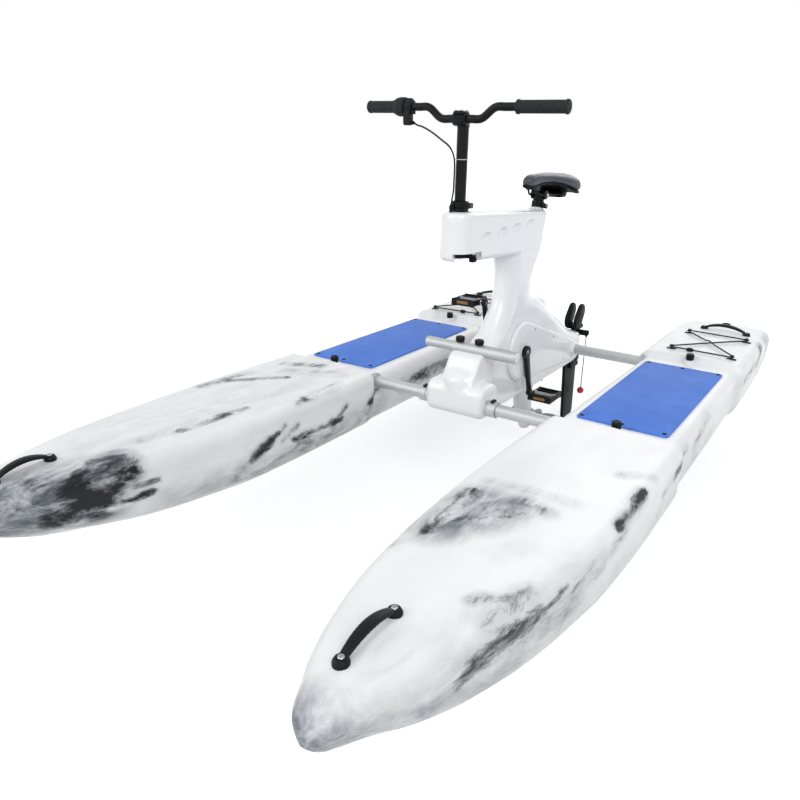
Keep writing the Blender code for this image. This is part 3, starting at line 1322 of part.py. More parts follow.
def make_saddle():
    """The padded saddle with its rails and its clamp on the seatpost."""
    rings = []
    for y, half, top, bottom in SADDLE_LINES:
        middle = (top + bottom) / 2
        high, low = top - middle, middle - bottom
        rings.append([
            (half * np.sign(cos(a)) * abs(cos(a)) ** 0.8, y, middle + (high if sin(a) > 0 else low) * sin(a))
            for a in np.arange(16) * pi / 8 + pi / 16
        ])
    saddle = solid("saddle", lofted(rings), "vinyl", seat_axis(SEATPOST_ABOVE))
    rails = []
    for side in (-1, 1):
        path = eased([
            (0.008, 0.306, 1.012), (0.014, 0.326, 0.992), (0.020, 0.350, 0.984), (0.022, 0.430, 0.984),
            (0.036, 0.486, 0.992), (0.042, 0.510, 1.006),
        ], 1)
        rings = []
        for x, y, z in path:
            rings.append([(side * x + 0.0035 * cos(a), y, z + 0.0035 * sin(a)) for a in np.arange(6) * pi / 3])
        rails.append(lofted(rings))
    join(saddle, together(*rails), "rails")
    x, y, z = seat_axis(SEATPOST_ABOVE)
    clamp = turned(
        ((0, -0.028), (0.013, -0.028), (0.0165, -0.024), (0.0165, 0.024), (0.013, 0.028), (0, 0.028)),
        (0, y, 0.984), "X", 16,
    )
    join(saddle, clamp, "clamp")
    start = SEAT_Z + SEAT_COLLAR[1] + 0.002
    socket = leaned(disc(SEATPOST_RADIUS + 0.0035, start, SEAT_Z + SEATPOST_ABOVE + 0.003, (0, SEAT_Y, 0)))
    join(saddle, socket, "socket")
    bore = leaned(disc(SEATPOST_RADIUS + GAP, SEAT_Z + 0.05, SEAT_Z + SEATPOST_ABOVE + GAP, (0, SEAT_Y, 0)))
    return cut(saddle, bore, "bore")


# Rudder
def make_rudder_head():
    """The turning head: fork for the blade, stock, cheeks and tiller arm in one casting."""
    stock = disc(RUDDER_STOCK_RADIUS, 0.270, 0.415, (0, RUDDER_Y, 0), "Z", 20)
    head = solid("rudder_head", stock, "black_plastic", (0, RUDDER_Y, 0.286))
    fork = rounded(box_outline((RUDDER_Y - 0.030, 0.236), (RUDDER_PIVOT_Y + 0.018, 0.2865)), 0.008, 3)
    join(head, prism(fork, -0.018, 0.018, "X"), "fork")
    slot = box_outline((RUDDER_Y - 0.06, 0.20), (RUDDER_PIVOT_Y + 0.04, 0.2785))
    half = BLADE_HALF_THICKNESS + RUNNING_GAP
    cut(head, prism(slot, -half, half, "X"), "slot")
    pivot = (0, RUDDER_PIVOT_Y, RUDDER_PIVOT_Z)
    bolt = turned(
        ((0, -0.022), (0.0065, -0.022), (0.0065, -0.0175), (0.004, -0.0175), (0.004, 0.0175), (0.0065, 0.0175),
         (0.0065, 0.022), (0, 0.022)),
        pivot, "X", 16,
    )
    join(head, bolt, "pivot_bolt")
    base = rounded(box_outline((RUDDER_Y - 0.014, 0.4065), (RUDDER_Y + 0.046, 0.424)), 0.005, 2)
    join(head, prism(base, -0.026, 0.026, "X"), "yoke")
    cheeks = []
    for x in (-0.020, 0.020):
        outline = hull_of_circles((RUDDER_Y + 0.016, 0.488), 0.0255, (RUDDER_Y + 0.002, 0.424), 0.021, 14)
        cheeks.append(prism(outline, x - 0.0062, x + 0.0062, "X"))
    join(head, together(*cheeks), "cheeks")
    arm = rounded(box_outline((-0.012, 0.374), (UPHAUL_TOP[0] + 0.008, 0.396)), 0.0045, 2)
    rear = RUDDER_Y + 0.046
    join(head, prism(arm, rear - 0.013, rear + 0.006, "Y"), "arm")
    lug = box_outline((-0.012, 0.380), (0.012, 0.420))
    return join(head, prism(lug, rear - 0.010, rear + 0.0035, "Y"), "lug")


def make_blade():
    """The kick-up rudder blade."""
    y, z = RUDDER_PIVOT_Y, RUDDER_PIVOT_Z
    corners = [
        (0.776, 0.2600), (0.807, 0.0), (0.923, 0.0), (0.908, 0.215), (y + 0.013, z), (y, z + 0.0132), (0.782, 0.2700),
    ]
    outline = rounded(corners, [0.008, 0.030, 0.022, 0.030, 0.004, 0.004, 0.005], 4)
    centre = np.mean(outline, axis=0)
    rings = []
    for x, inset in ((-1.0, 0.009), (-0.55, 0.0), (0.55, 0.0), (1.0, 0.009)):
        rings.append([])
        for spot in outline:
            away = np.array(spot) - centre
            shrink = 0 if spot[1] > 0.235 else inset
            spot = np.array(spot) - away / np.linalg.norm(away) * shrink
            rings[-1].append((x * BLADE_HALF_THICKNESS, *spot))
    blade = solid("rudder_blade", lofted(rings), "black_plastic", (0, y, z))
    return cut(blade, disc(0.0043, -0.03, 0.03, (0, y, z), "X", 16), "pivot_hole")


def make_uphaul():
    """The cord and pull ball that lift the rudder."""
    x, y, z = UPHAUL_TOP
    radius = 0.0016
    profile = [(0, 0.3735), (radius, 0.3735), (radius, UPHAUL_BALL_Z + UPHAUL_BALL_RADIUS)]
    for angle in np.linspace(radians(72), radians(-90), 7)[:-1]:
        profile.append((UPHAUL_BALL_RADIUS * cos(angle), UPHAUL_BALL_Z + UPHAUL_BALL_RADIUS * sin(angle)))
    profile.append((0, UPHAUL_BALL_Z - UPHAUL_BALL_RADIUS))
    return solid("rudder_uphaul", turned(profile, (x, y, 0), "Z", 12), "red_plastic", (x, y, z))


# The boat
def build():
    """Makes every piece and hangs the moving ones on their axes."""
    for side, label in ((1, "port"), (-1, "starboard")):
        make_float(side, label)
        make_pad(side, label)
        make_handle(f"bow_handle_{label}", side, BOW_HANDLE)
        make_handle(f"stern_handle_{label}", side, STERN_HANDLE)
        make_lashing(side, label)
        make_drain_plug(side, label)
        for end, y in (("front", FRONT_TUBE_Y), ("rear", REAR_TUBE_Y)):
            base = knob_seat(y) + 0.0005
            stud = base - (TUBE_Z + TUBE_RADIUS + GAP)
            make_knob(f"deck_knob_{end}_{label}", (side * FLOAT_X, y, base), KNOB_HEIGHT, KNOB_RADIUS, stud)
    make_cross_tube("front_tube", FRONT_TUBE_Y)
    make_cross_tube("rear_tube", REAR_TUBE_Y)
    housing = make_housing()
    join(housing, foot_cradle(), "foot_cradle")
    centre = (0, FOOT_BAR_Y, FOOT_BAR_Z)
    cut(housing, disc(FOOT_SLEEVE_RADIUS + GAP, -0.2, 0.2, centre, "X"), "foot_bore")
    make_cover(1, "port")
    make_cover(-1, "starboard")
    make_foot_bar()
    make_bracket()
    make_drive_leg()
    make_belt()

    crank = axis_of("crank_axis", (0, CRANK_Y, CRANK_Z))
    carried(crank, make_axle(), make_crank_pulley())
    for side, label in ((1, "port"), (-1, "starboard")):
        arm = make_crank(side, label)
        carried(crank, arm)
        spindle = axis_of(f"pedal_axis_{label}", (side * PEDAL_INNER_X, *crank_point(CRANK_ARM, side)), crank)
        carried(spindle, make_pedal(side, label))

    upper_wheel, upper_pinion, lower_wheel, lower_pinion = make_bevels()
    jack = axis_of("jackshaft_axis", (0, DRIVE_Y, JACKSHAFT_Z))
    carried(jack, make_jackshaft(), upper_wheel)
    upright = axis_of("leg_shaft_axis", (0, DRIVE_Y, PROPELLER_Z))
    carried(upright, make_leg_shaft(), upper_pinion, lower_wheel)
    screw = axis_of("propeller_axis", (0, PROPELLER_Y, PROPELLER_Z))
    carried(screw, make_prop_shaft(), make_propeller(), lower_pinion)

    steering = axis_of("steering_axis", (0, STEER_Y, STEERER_TOP_Z))
    carried(steering, make_steerer(), make_post(), make_bar(), make_steering_arm(), make_cable())
    carried(steering, make_grip("grip_port", PORT_GRIP_X), make_grip("grip_starboard", STARBOARD_GRIP_X))
    twist, body = make_shifter()
    carried(steering, twist, body)
    low, high = 0.9695, 0.9975
    carried(steering, make_collar("post_collar", STEER_Y, low, high, STEERER_RADIUS, STEERER_STEPS))
    lever, cam, pivot = lever_shape(STEER_Y, low, high, STEERER_RADIUS)
    carried(steering, join(solid("post_lever", lever, "black_paint", pivot), cam, "cam"))

    low, high = SEAT_Z + SEAT_COLLAR[0], SEAT_Z + SEAT_COLLAR[1]
    collar = make_collar("seat_collar", SEAT_Y, low, high, SEATPOST_RADIUS)
    lever, cam, pivot = lever_shape(SEAT_Y, low, high, SEATPOST_RADIUS)
    for leaning in (collar, join(solid("seat_lever", lever, "black_paint", pivot), cam, "cam")):
        lean_piece(leaning)
    height = axis_of("saddle_axis", seat_axis(0))
    carried(height, make_seatpost(), make_saddle())

    rudder = axis_of("rudder_axis", (0, RUDDER_Y, 0.286))
    carried(rudder, make_rudder_head(), make_blade(), make_uphaul())


def lean_piece(piece):
    """Leans a piece that was built upright onto the seatpost's axis."""
    pivot = Matrix.Translation((0, SEAT_Y, SEAT_Z))
    piece.matrix_world = pivot @ Matrix.Rotation(-SEAT_TILT, 4, "X") @ pivot.inverted() @ Matrix.Translation(piece.location)


for leftover in list(bpy.data.objects):
    bpy.data.objects.remove(leftover, do_unlink=True)
build()
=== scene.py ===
"""The water bike of the photograph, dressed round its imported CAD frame.

Metres, +Z up, +X to port, -Y towards the bows. The script runs from top to bottom: the studio, the
cords, then the boat in the order in which it is put together.
"""

from math import cos, pi, radians, sin

import bpy
import numpy as np
from mathutils import Matrix, Vector


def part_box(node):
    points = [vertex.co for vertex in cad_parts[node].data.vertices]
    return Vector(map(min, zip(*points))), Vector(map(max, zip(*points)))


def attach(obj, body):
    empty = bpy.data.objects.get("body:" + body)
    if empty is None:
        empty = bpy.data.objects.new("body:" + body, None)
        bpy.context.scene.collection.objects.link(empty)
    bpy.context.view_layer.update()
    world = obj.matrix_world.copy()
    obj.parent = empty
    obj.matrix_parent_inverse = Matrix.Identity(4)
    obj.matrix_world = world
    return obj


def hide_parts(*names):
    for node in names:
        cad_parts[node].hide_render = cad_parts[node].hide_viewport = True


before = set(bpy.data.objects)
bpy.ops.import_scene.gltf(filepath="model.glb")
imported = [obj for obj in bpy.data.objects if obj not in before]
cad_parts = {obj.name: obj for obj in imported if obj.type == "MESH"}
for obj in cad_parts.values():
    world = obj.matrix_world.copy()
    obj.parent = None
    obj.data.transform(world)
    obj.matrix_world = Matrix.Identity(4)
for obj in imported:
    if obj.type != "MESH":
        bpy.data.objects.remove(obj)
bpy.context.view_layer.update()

# ---- Studio
# A pale floor under soft, even light, and the camera at the photograph's own angle: off the port
# bow, a little lower than the handlebar and looking down on the floats, with a slight roll.


def linear(colour):
    """An sRGB hex colour as linear red, green, blue and an alpha of 1."""
    parts = np.array([int(colour[i:i + 2], 16) for i in (0, 2, 4)]) / 255
    parts = np.where(parts <= 0.04045, parts / 12.92, ((parts + 0.055) / 1.055) ** 2.4)
    return (*parts.tolist(), 1.0)


def node(tree, kind, inputs=None, **settings):
    """Adds one node with its settings; inputs gives sockets a value or a link."""
    added = tree.nodes.new("ShaderNode" + kind)
    for key, value in settings.items():
        setattr(added, key, value)
    for key, value in (inputs or {}).items():
        if isinstance(value, bpy.types.NodeSocket):
            tree.links.new(value, added.inputs[key])
        else:
            added.inputs[key].default_value = value
    return added


CAMERA_AT = (1.0868, -2.0472, 1.1914)
AZIMUTH, ELEVATION, ROLL = radians(34.291), radians(20.51), radians(0.984)
forward = Vector((-sin(AZIMUTH) * cos(ELEVATION), cos(AZIMUTH) * cos(ELEVATION), -sin(ELEVATION)))
right = Vector((cos(AZIMUTH), sin(AZIMUTH), 0))
above = right.cross(forward)
sideways = right * cos(ROLL) + above * sin(ROLL)
upwards = above * cos(ROLL) - right * sin(ROLL)
lens = bpy.data.cameras.new("photo_lens")
lens.lens = 32.662
lens.sensor_width = 36
lens.clip_end = 100
camera = bpy.data.objects.new("photo_camera", lens)
camera.matrix_world = Matrix.Translation(CAMERA_AT) @ Matrix((sideways, upwards, -forward)).transposed().to_4x4()
bpy.context.scene.collection.objects.link(camera)
bpy.context.scene.camera = camera


def shown_by_ray(tree, seen, lit):
    """One shader for what the camera sees, straight or by reflection or through glass, and
    another for every other ray."""
    ray = node(tree, "LightPath")
    looks = node(tree, "Math", {0: ray.outputs["Is Camera Ray"], 1: ray.outputs["Is Glossy Ray"]},
                 operation="MAXIMUM")
    looks = node(tree, "Math", {0: looks.outputs[0], 1: ray.outputs["Is Transmission Ray"]}, operation="MAXIMUM")
    return node(tree, "MixShader", {0: looks.outputs[0], 1: lit.outputs[0], 2: seen.outputs[0]}).outputs[0]


# A matt floor whose own glow grows from 1.2 to 4 m off, so that it runs into the white backdrop.
floor_paint = bpy.data.materials.new("matt_white_studio_floor")
floor_paint.use_nodes = True
tree = floor_paint.node_tree
tree.nodes.clear()
matt = node(tree, "BsdfDiffuse", {"Color": linear("D2D3D3")})
away = node(tree, "VectorMath", {0: node(tree, "TexCoord").outputs["Object"]}, operation="LENGTH")
rise = node(tree, "MapRange", {"Value": away.outputs["Value"], "From Min": 1.2, "From Max": 4.0,
                               "To Min": 0.56, "To Max": 1.0})
glow = node(tree, "Emission", {"Color": (1, 1, 1, 1), "Strength": rise.outputs["Result"]})
lifted = node(tree, "AddShader", {0: matt.outputs[0], 1: glow.outputs[0]})
node(tree, "OutputMaterial", {"Surface": shown_by_ray(tree, lifted, matt)})
FLOOR_REACH, FLOOR_Z = 40, -0.001
floor_mesh = bpy.data.meshes.new("studio_floor")
floor_mesh.from_pydata([(FLOOR_REACH * x, FLOOR_REACH * y, FLOOR_Z) for x, y in ((-1, -1), (1, -1), (1, 1), (-1, 1))],
                       [], [(0, 1, 2, 3)])
floor_mesh.materials.append(floor_paint)
floor = bpy.data.objects.new("studio_floor", floor_mesh)
bpy.context.scene.collection.objects.link(floor)

# The air is pure white to the camera, and sheds a weaker, even light.
world = bpy.data.worlds.new("studio_air")
bpy.context.scene.world = world
world.use_nodes = True
tree = world.node_tree
tree.nodes.clear()
air = node(tree, "Background", {"Color": linear("FDFDFF"), "Strength": 0.62})
backdrop = node(tree, "Background", {"Color": (1, 1, 1, 1), "Strength": 1.0})
node(tree, "OutputWorld", {"Surface": shown_by_ray(tree, backdrop, air)})

LIT_POINT = Vector((0, 0, 0.35))

for name, place, size, power in (
    ("key_softbox", (6.2, -5.4, 6.6), 6.0, 300),
    ("fill_softbox", (-5.0, -7.6, 5.4), 6.4, 250),
    ("rear_softbox", (-1.2, 9.2, 6.4), 6.8, 160),
):
    light = bpy.data.lights.new(name, "AREA")
    light.shape = "DISK"
    light.size = size
    light.energy = power
    lamp = bpy.data.objects.new(name, light)
    aim = (LIT_POINT - Vector(place)).to_track_quat("-Z", "Y")
    lamp.matrix_world = Matrix.Translation(place) @ aim.to_matrix().to_4x4()
    bpy.context.scene.collection.objects.link(lamp)
bpy.context.scene.view_settings.view_transform = "Standard"

# ---- Cords
# The gear cable from the twist shifter down into the head, the bungee laced over each stern deck,
# and the rudder's lifting cord with its ball. All are round cords about 4 to 6 mm thick.


def surface(points, looped=False, poles=(None, None)):
    """A grid of points (rows x steps x 3) as (points, quads, triangles).

    Quads join neighbouring rows, and each row's end to its start. looped joins the last row to the
    first; otherwise a fan closes both, to the given poles or to the rows' middles. The faces are
    turned outwards by their volume.
    """
    points = np.asarray(points, float)
    rows, steps = points.shape[:2]
    here = np.arange(rows * steps).reshape(rows, steps)
    above = np.roll(here, -1, 0)
    if not looped:
        here, above = here[:-1], above[:-1]
    quads = np.stack([here, np.roll(here, -1, 1), np.roll(above, -1, 1), above], -1).reshape(-1, 4)
    flat = points.reshape(-1, 3)
    triangles = np.zeros((0, 3), int)
    if not looped:
        count = rows * steps
        ends = [points[k].mean(0) if pole is None else pole for k, pole in zip((0, -1), poles)]
        flat = np.concatenate([flat, ends])
        low, high = here[0], above[-1]
        triangles = np.concatenate([
            np.stack([np.roll(low, -1), low, np.full(steps, count)], -1),
            np.stack([high, np.roll(high, -1), np.full(steps, count + 1)], -1)])
    every = np.concatenate([quads[:, [0, 1, 2]], quads[:, [0, 2, 3]], triangles])
    if np.linalg.det(flat[every] - flat.mean(0)).sum() < 0:
        quads, triangles = quads[:, ::-1], triangles[:, ::-1]
    return flat, quads, triangles


def merged(*shapes):
    """Several shapes in one: their points and faces laid end to end."""
    starts = np.cumsum([0] + [len(shape[0]) for shape in shapes[:-1]])
    return tuple(np.concatenate([shape[k] + (start if k else 0) for shape, start in zip(shapes, starts)])
                 for k in range(3))


def laid_out(name, shape):
    """A shape as an object at the origin."""
    points, quads, triangles = shape
    mesh = bpy.data.meshes.new(name)
    mesh.from_pydata(points.tolist(), [], quads.tolist() + triangles.tolist())
    made = bpy.data.objects.new(name, mesh)
    bpy.context.scene.collection.objects.link(made)
    return made


def piece(name, shape, material, body, replaces=None, crease=35):
    """One finished piece: smooth but for edges sharper than crease degrees, riding on a body and
    standing for a CAD node."""
    made = laid_out(name, shape)
    made.data.shade_smooth()
    made.data.set_sharp_from_angle(angle=radians(crease))
    made.data.materials.append(material)
    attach(made, body)
    if replaces:
        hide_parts(replaces)
    return made


def eased(path, count, closed=False):
    """count points, evenly spaced, on a smooth curve through a path: each span is a cubic whose
    end slopes are half the step between the neighbours on either side (Catmull-Rom)."""
    path = np.asarray(path, float)
    if closed:
        path = np.concatenate([path[-1:], path, path[:2]])
    else:
        path = np.concatenate([2 * path[:1] - path[1:2], path, 2 * path[-1:] - path[-2:-1]])
    t = np.linspace(0, 1, 24, endpoint=False)[None, :, None]
    a, b, c, d = (path[k:len(path) - 3 + k, None] for k in range(4))
    fine = 0.5 * (2 * b + (c - a) * t + (2 * a - 5 * b + 4 * c - d) * t ** 2 + (3 * b - a - 3 * c + d) * t ** 3)
    fine = np.concatenate([fine.reshape(-1, 3), path[-2:-1]])
    way = np.concatenate([[0], np.cumsum(np.linalg.norm(np.diff(fine, axis=0), axis=1))])
    even = np.linspace(0, way[-1], count + 1)[:-1] if closed else np.linspace(0, way[-1], count)
    return np.stack([np.interp(even, way, fine[:, k]) for k in range(3)], -1)


def swept(path, radius, sides=12, up=(0, 0, 1), closed=False, wide=1.0):
    """A round section carried along a path: at each point a ring of the given radius, in the
    plane of tangent x up and its normal; wide stretches it sideways. radius may vary along it."""
    path = np.asarray(path, float)
    if closed:
        tangent = np.roll(path, -1, 0) - np.roll(path, 1, 0)
    else:
        tangent = np.gradient(path, axis=0)
    tangent /= np.linalg.norm(tangent, axis=1, keepdims=True)
    side = np.cross(tangent, up)
    side /= np.linalg.norm(side, axis=1, keepdims=True)
    rise = np.cross(side, tangent)
    angle = np.arange(sides) * 2 * pi / sides
    radius = np.broadcast_to(radius, len(path))[:, None, None]
    rings = path[:, None] + radius * (
        wide * np.cos(angle)[None, :, None] * side[:, None] + np.sin(angle)[None, :, None] * rise[:, None])
    return surface(rings, looped=closed)


def new_material(name, **sockets):
    """A material whose shader has these numbers on its own sockets, with its node tree and the
    Object coordinates that its patterns read."""
    material = bpy.data.materials.new(name)
    material.use_nodes = True
    tree = material.node_tree
    for key, value in sockets.items():
        tree.nodes["Principled BSDF"].inputs[key.replace("_", " ")].default_value = value
    return material, tree, node(tree, "TexCoord").outputs["Object"]


def coat(tree, colour, rub, roughness, relief, depth):
    """Gives a material its colour, a roughness that a noise moves between two numbers, and a bump
    from a relief that stands depth metres high."""
    gloss = node(tree, "MapRange", {"Value": rub, "From Min": 0.3, "From Max": 0.7,
                                    "To Min": roughness[0], "To Max": roughness[1]})
    bump = node(tree, "Bump", {"Height": relief, "Strength": 1.0, "Distance": depth})
    shader = tree.nodes["Principled BSDF"]
    tree.links.new(colour, shader.inputs["Base Color"])
    tree.links.new(gloss.outputs["Result"], shader.inputs["Roughness"])
    tree.links.new(bump.outputs["Normal"], shader.inputs["Normal"])


def finish(name, colours, roughness, grain, metallic=0.0, blotch=60.0, **sockets):
    """A plain material with life in it: the colour drifts between two hex values and the
    roughness between two numbers over blotches of so many mm, under a bump whose grain is
    (mm across, mm deep). Other numbers go on the shader's own sockets."""
    material, tree, place = new_material(name, Metallic=metallic, **sockets)
    drift = node(tree, "TexNoise", {"Vector": place, "Scale": 1000 / blotch, "Detail": 4.0, "Roughness": 0.62})
    tone = node(tree, "MapRange", {"Value": drift.outputs["Fac"], "From Min": 0.36, "From Max": 0.64})
    paint = node(tree, "Mix", {"Factor": tone.outputs["Result"], 6: linear(colours[0]), 7: linear(colours[1])},
                 data_type="RGBA")
    rub = node(tree, "TexNoise", {"Vector": place, "Scale": 2600 / blotch, "Detail": 3.0})
    fine = node(tree, "TexNoise", {"Vector": place, "Scale": 1000 / grain[0], "Detail": 2.0})
    coat(tree, paint.outputs[2], rub.outputs["Fac"], roughness, fine.outputs["Fac"], grain[1] / 1000)
    return material


# Extruded polymer sleeve of a cable: smooth black with a dull shine.
cable_jacket = finish("extruded_black_cable_jacket", ("0C0D0E", "141517"), (0.38, 0.5), (1.2, 0.05),
                      Specular_IOR_Level=0.3)
CABLE_RADIUS = 0.0026
cable_path = eased([
    (-0.1587, -0.176, 1.207), (-0.1533, -0.1770, 1.2058), (-0.1410, -0.1818, 1.2010), (-0.1200, -0.1868, 1.1970),
    (-0.0860, -0.1905, 1.1830), (-0.0520, -0.1910, 1.1630), (-0.0280, -0.1893, 1.1470), (-0.0150, -0.1866, 1.1260),
    (-0.0105, -0.1852, 1.1020), (-0.0100, -0.1850, 1.0600), (-0.0100, -0.1862, 1.0250), (-0.0100, -0.1925, 1.0030),
    (-0.0100, -0.1958, 0.9850), (-0.0100, -0.1965, 0.9700),
], 40)
cable = piece("gear_cable", swept(cable_path, CABLE_RADIUS, 12, (0.35, 1, 0.2)), cable_jacket, "steering",
              "shift_cable")

# Braided bungee: a rubber core in a woven black cover, dull and finely broken up.
bungee_cover = finish("braided_black_bungee", ("101114", "26282D"), (0.62, 0.85), (1.6, 0.5), blotch=9.0)
LASHING_RADIUS = 0.0028
LASHING_EYES = np.array(((0.424, 1.054), (0.646, 1.046), (0.427, 0.777), (0.646, 0.771)))
FLOAT_X = 0.518
# A float's stations: y, half beam, keel z, deck edge z, and the chine's share of the half beam.
FLOAT_LINES = np.array((
    (-1.450, 0.014, 0.342, 0.366, 0.84), (-1.438, 0.036, 0.331, 0.386, 0.80), (-1.400, 0.063, 0.309, 0.404, 0.77),
    (-1.350, 0.088, 0.281, 0.414, 0.77), (-1.250, 0.121, 0.240, 0.420, 0.80), (-1.150, 0.147, 0.214, 0.420, 0.85),
    (-1.000, 0.171, 0.189, 0.418, 0.91), (-0.850, 0.186, 0.176, 0.415, 0.95), (-0.650, 0.198, 0.165, 0.412, 0.98),
    (-0.450, 0.203, 0.165, 0.410, 0.98), (-0.150, 0.200, 0.165, 0.408, 0.98), (0.150, 0.197, 0.165, 0.408, 0.98),
    (0.750, 0.189, 0.165, 0.409, 0.98), (1.050, 0.188, 0.178, 0.411, 0.98), (1.250, 0.185, 0.205, 0.409, 0.96),
    (1.350, 0.172, 0.228, 0.401, 0.94), (1.410, 0.142, 0.254, 0.387, 0.90), (1.438, 0.098, 0.280, 0.370, 0.85),
    (1.450, 0.044, 0.300, 0.352, 0.80),
))
# The foot pad's well, from y to y, and the height of its floor.
WELL = (-0.152, 0.722)
WELL_DECK_Z = 0.389


def faired(table, column, at):
    """A table's column on a smooth curve that doesn't overshoot its rows: cubic spans whose
    slopes are the harmonic mean of the slopes on either side, or 0 at a turn."""
    x, v = table[:, 0], table[:, column]
    step = np.diff(x)
    slope = np.diff(v) / step
    before, after = slope[:-1], slope[1:]
    both = before * after > 0
    slopes = np.where(both, 2 * before * after / np.where(both, before + after, 1), 0)
    tangent = np.concatenate([slope[:1], slopes, slope[-1:]])
    i = np.clip(np.searchsorted(x, at) - 1, 0, len(step) - 1)
    t = (at - x[i]) / step[i]
    return ((1 + 2 * t) * (1 - t) ** 2 * v[i] + t * (1 - t) ** 2 * step[i] * tangent[i]
            + t * t * (3 - 2 * t) * v[i + 1] + t * t * (t - 1) * step[i] * tangent[i + 1])


def smoothed(t):
    """0 below 0, 1 above 1, and an S between them."""
    t = np.clip(t, 0, 1)
    return t * t * (3 - 2 * t)


def float_sizes(y):
    """Half beam, keel z, deck edge z and deck crown at a station, with the pad well let in."""
    well = smoothed(np.minimum((y - WELL[0]) / 0.030, (WELL[1] - y) / 0.030))
    half = faired(FLOAT_LINES, 1, y) - 0.014 * well
    deck = faired(FLOAT_LINES, 3, y) * (1 - well) + WELL_DECK_Z * well
    return half, faired(FLOAT_LINES, 2, y), deck, 0.006 * (1 - well) * np.minimum(1, half / 0.12)


def deck_height(x, y):
    """Height of a float's deck x to the side of its middle line."""
    half, _, deck, crown = float_sizes(np.asarray(y, float))
    return deck + crown * (1 - np.minimum(1, np.abs(x) / (half - np.minimum(0.036, 0.5 * half))))


SIDES = ((1, "port"), (-1, "starboard"))
# The radius of an eye's neck, and how high over the deck the cord lies at an eye and at its crossings.
EYE_NECK, LIFT_AT_EYE, LIFT_BETWEEN = 0.0043, 0.0100, 0.0062
toggles = {}
for side, label in SIDES:
    loop = LASHING_RADIUS + EYE_NECK
    middle = LASHING_EYES.mean(0)
    route = []
    for i in (2, 3, 0, 1, 2):
        centre = LASHING_EYES[i]
        height = float(deck_height(centre[0] - FLOAT_X, centre[1])) + LIFT_AT_EYE
        before, after = {2: (1, 3), 3: (2, 0), 0: (3, 1), 1: (0, 2)}[i]
        toward = [(LASHING_EYES[k] - centre) / np.linalg.norm(LASHING_EYES[k] - centre) for k in (before, after)]
        outward = -(toward[0] + toward[1])
        heading = np.arctan2(outward[1], outward[0])
        turns = []
        for line in toward:
            options = np.arctan2(line[1], line[0]) + np.array((-pi / 2, pi / 2))
            offsets = (options - heading + pi) % (2 * pi) - pi
            turns.append(offsets[np.argmin(np.abs(offsets))])
        angles = heading + np.linspace(*turns, 6)
        ring = np.stack([centre[0] + loop * np.cos(angles), centre[1] + loop * np.sin(angles),
                         np.full(6, height)], -1)
        route.append(ring)
    toggle = 0.68 * route[0][-1] + 0.32 * route[1][0]
    toggles[side] = toggle * (side, 1, 1)
    low = float(deck_height(0.0, middle[1])) + LIFT_BETWEEN
    crossing = [(route[1][-1] * (1 - s) + route[2][0] * s) * (1, 1, 0) + (0, 0, low + lift)
                for s, lift in ((0.40, 0.0016), (0.5, 0.0070), (0.60, 0.0016))]
    under = [(route[3][-1] * (1 - s) + route[4][0] * s) * (1, 1, 0) + (0, 0, low) for s in (0.42, 0.5, 0.58)]
    way = np.concatenate([[toggle], route[1], crossing, route[2], route[3], under, route[4], [toggle]])
    way = way * (side, 1, 1)
    way[-1] += (side * -0.0002, 0, 0)
    bungee_path = way[:1]
    for start, end in zip(way[:-1], way[1:]):
        count = max(2, int(np.linalg.norm(end - start) / 0.012))
        bungee_path = np.concatenate([bungee_path, start + (end - start) * np.linspace(0, 1, count + 1)[1:, None]])
    bungee_path[0] += (side * 0.004, 0, 0)
    bungee_path[-1] -= (side * 0.004, 0, 0)
    bungee = piece(f"deck_bungee_{label}", swept(bungee_path, LASHING_RADIUS, 10), bungee_cover, "boat",
                   f"lashing_cord_{label}")

# Twisted polyester line, 3.8 mm, off-black; its moulded pull ball is glossy red plastic.
lifting_line = finish("twisted_black_polyester_line", ("17181A", "303236"), (0.7, 0.85), (1.4, 0.35), blotch=6.0)
red_ball = finish("moulded_red_plastic", ("C2202A", "CE2C33"), (0.25, 0.34), (3.0, 0.03), Coat_Weight=0.3)
UPHAUL_TOP = (0.046, 0.884, 0.3735)
UPHAUL_LENGTH, UPHAUL_RADIUS, BALL_RADIUS = 0.233, 0.0019, 0.0145
drop = np.linspace(UPHAUL_TOP[2], UPHAUL_TOP[2] - UPHAUL_LENGTH, 16)
uphaul_path = np.stack([np.full(16, UPHAUL_TOP[0]), np.full(16, UPHAUL_TOP[1]), drop], -1)


def lathe(profile, centre, axis=(0, 0, 1), steps=40):
    """A (radius, height) outline turned about an axis through centre: each of its points makes a
    ring, one on the axis a pole, and an outline that ends where it starts a hollow ring."""
    profile = np.asarray(profile, float)
    axis = np.asarray(axis, float) / np.linalg.norm(axis)
    side = np.cross(axis, (0, 1, 0) if abs(axis[1]) < 0.8 else (1, 0, 0))
    side /= np.linalg.norm(side)
    front = np.cross(axis, side)
    angle = np.arange(steps) * 2 * pi / steps
    spokes = np.cos(angle)[:, None] * side + np.sin(angle)[:, None] * front
    rings = np.asarray(centre) + profile[:, 1, None, None] * axis + profile[:, 0, None, None] * spokes
    if np.allclose(profile[0], profile[-1]):
        return surface(rings[:-1], looped=True)
    poles = [rings[k].mean(0) for k in (0, -1)]
    return surface(rings[profile[:, 0] > 0], poles=poles)


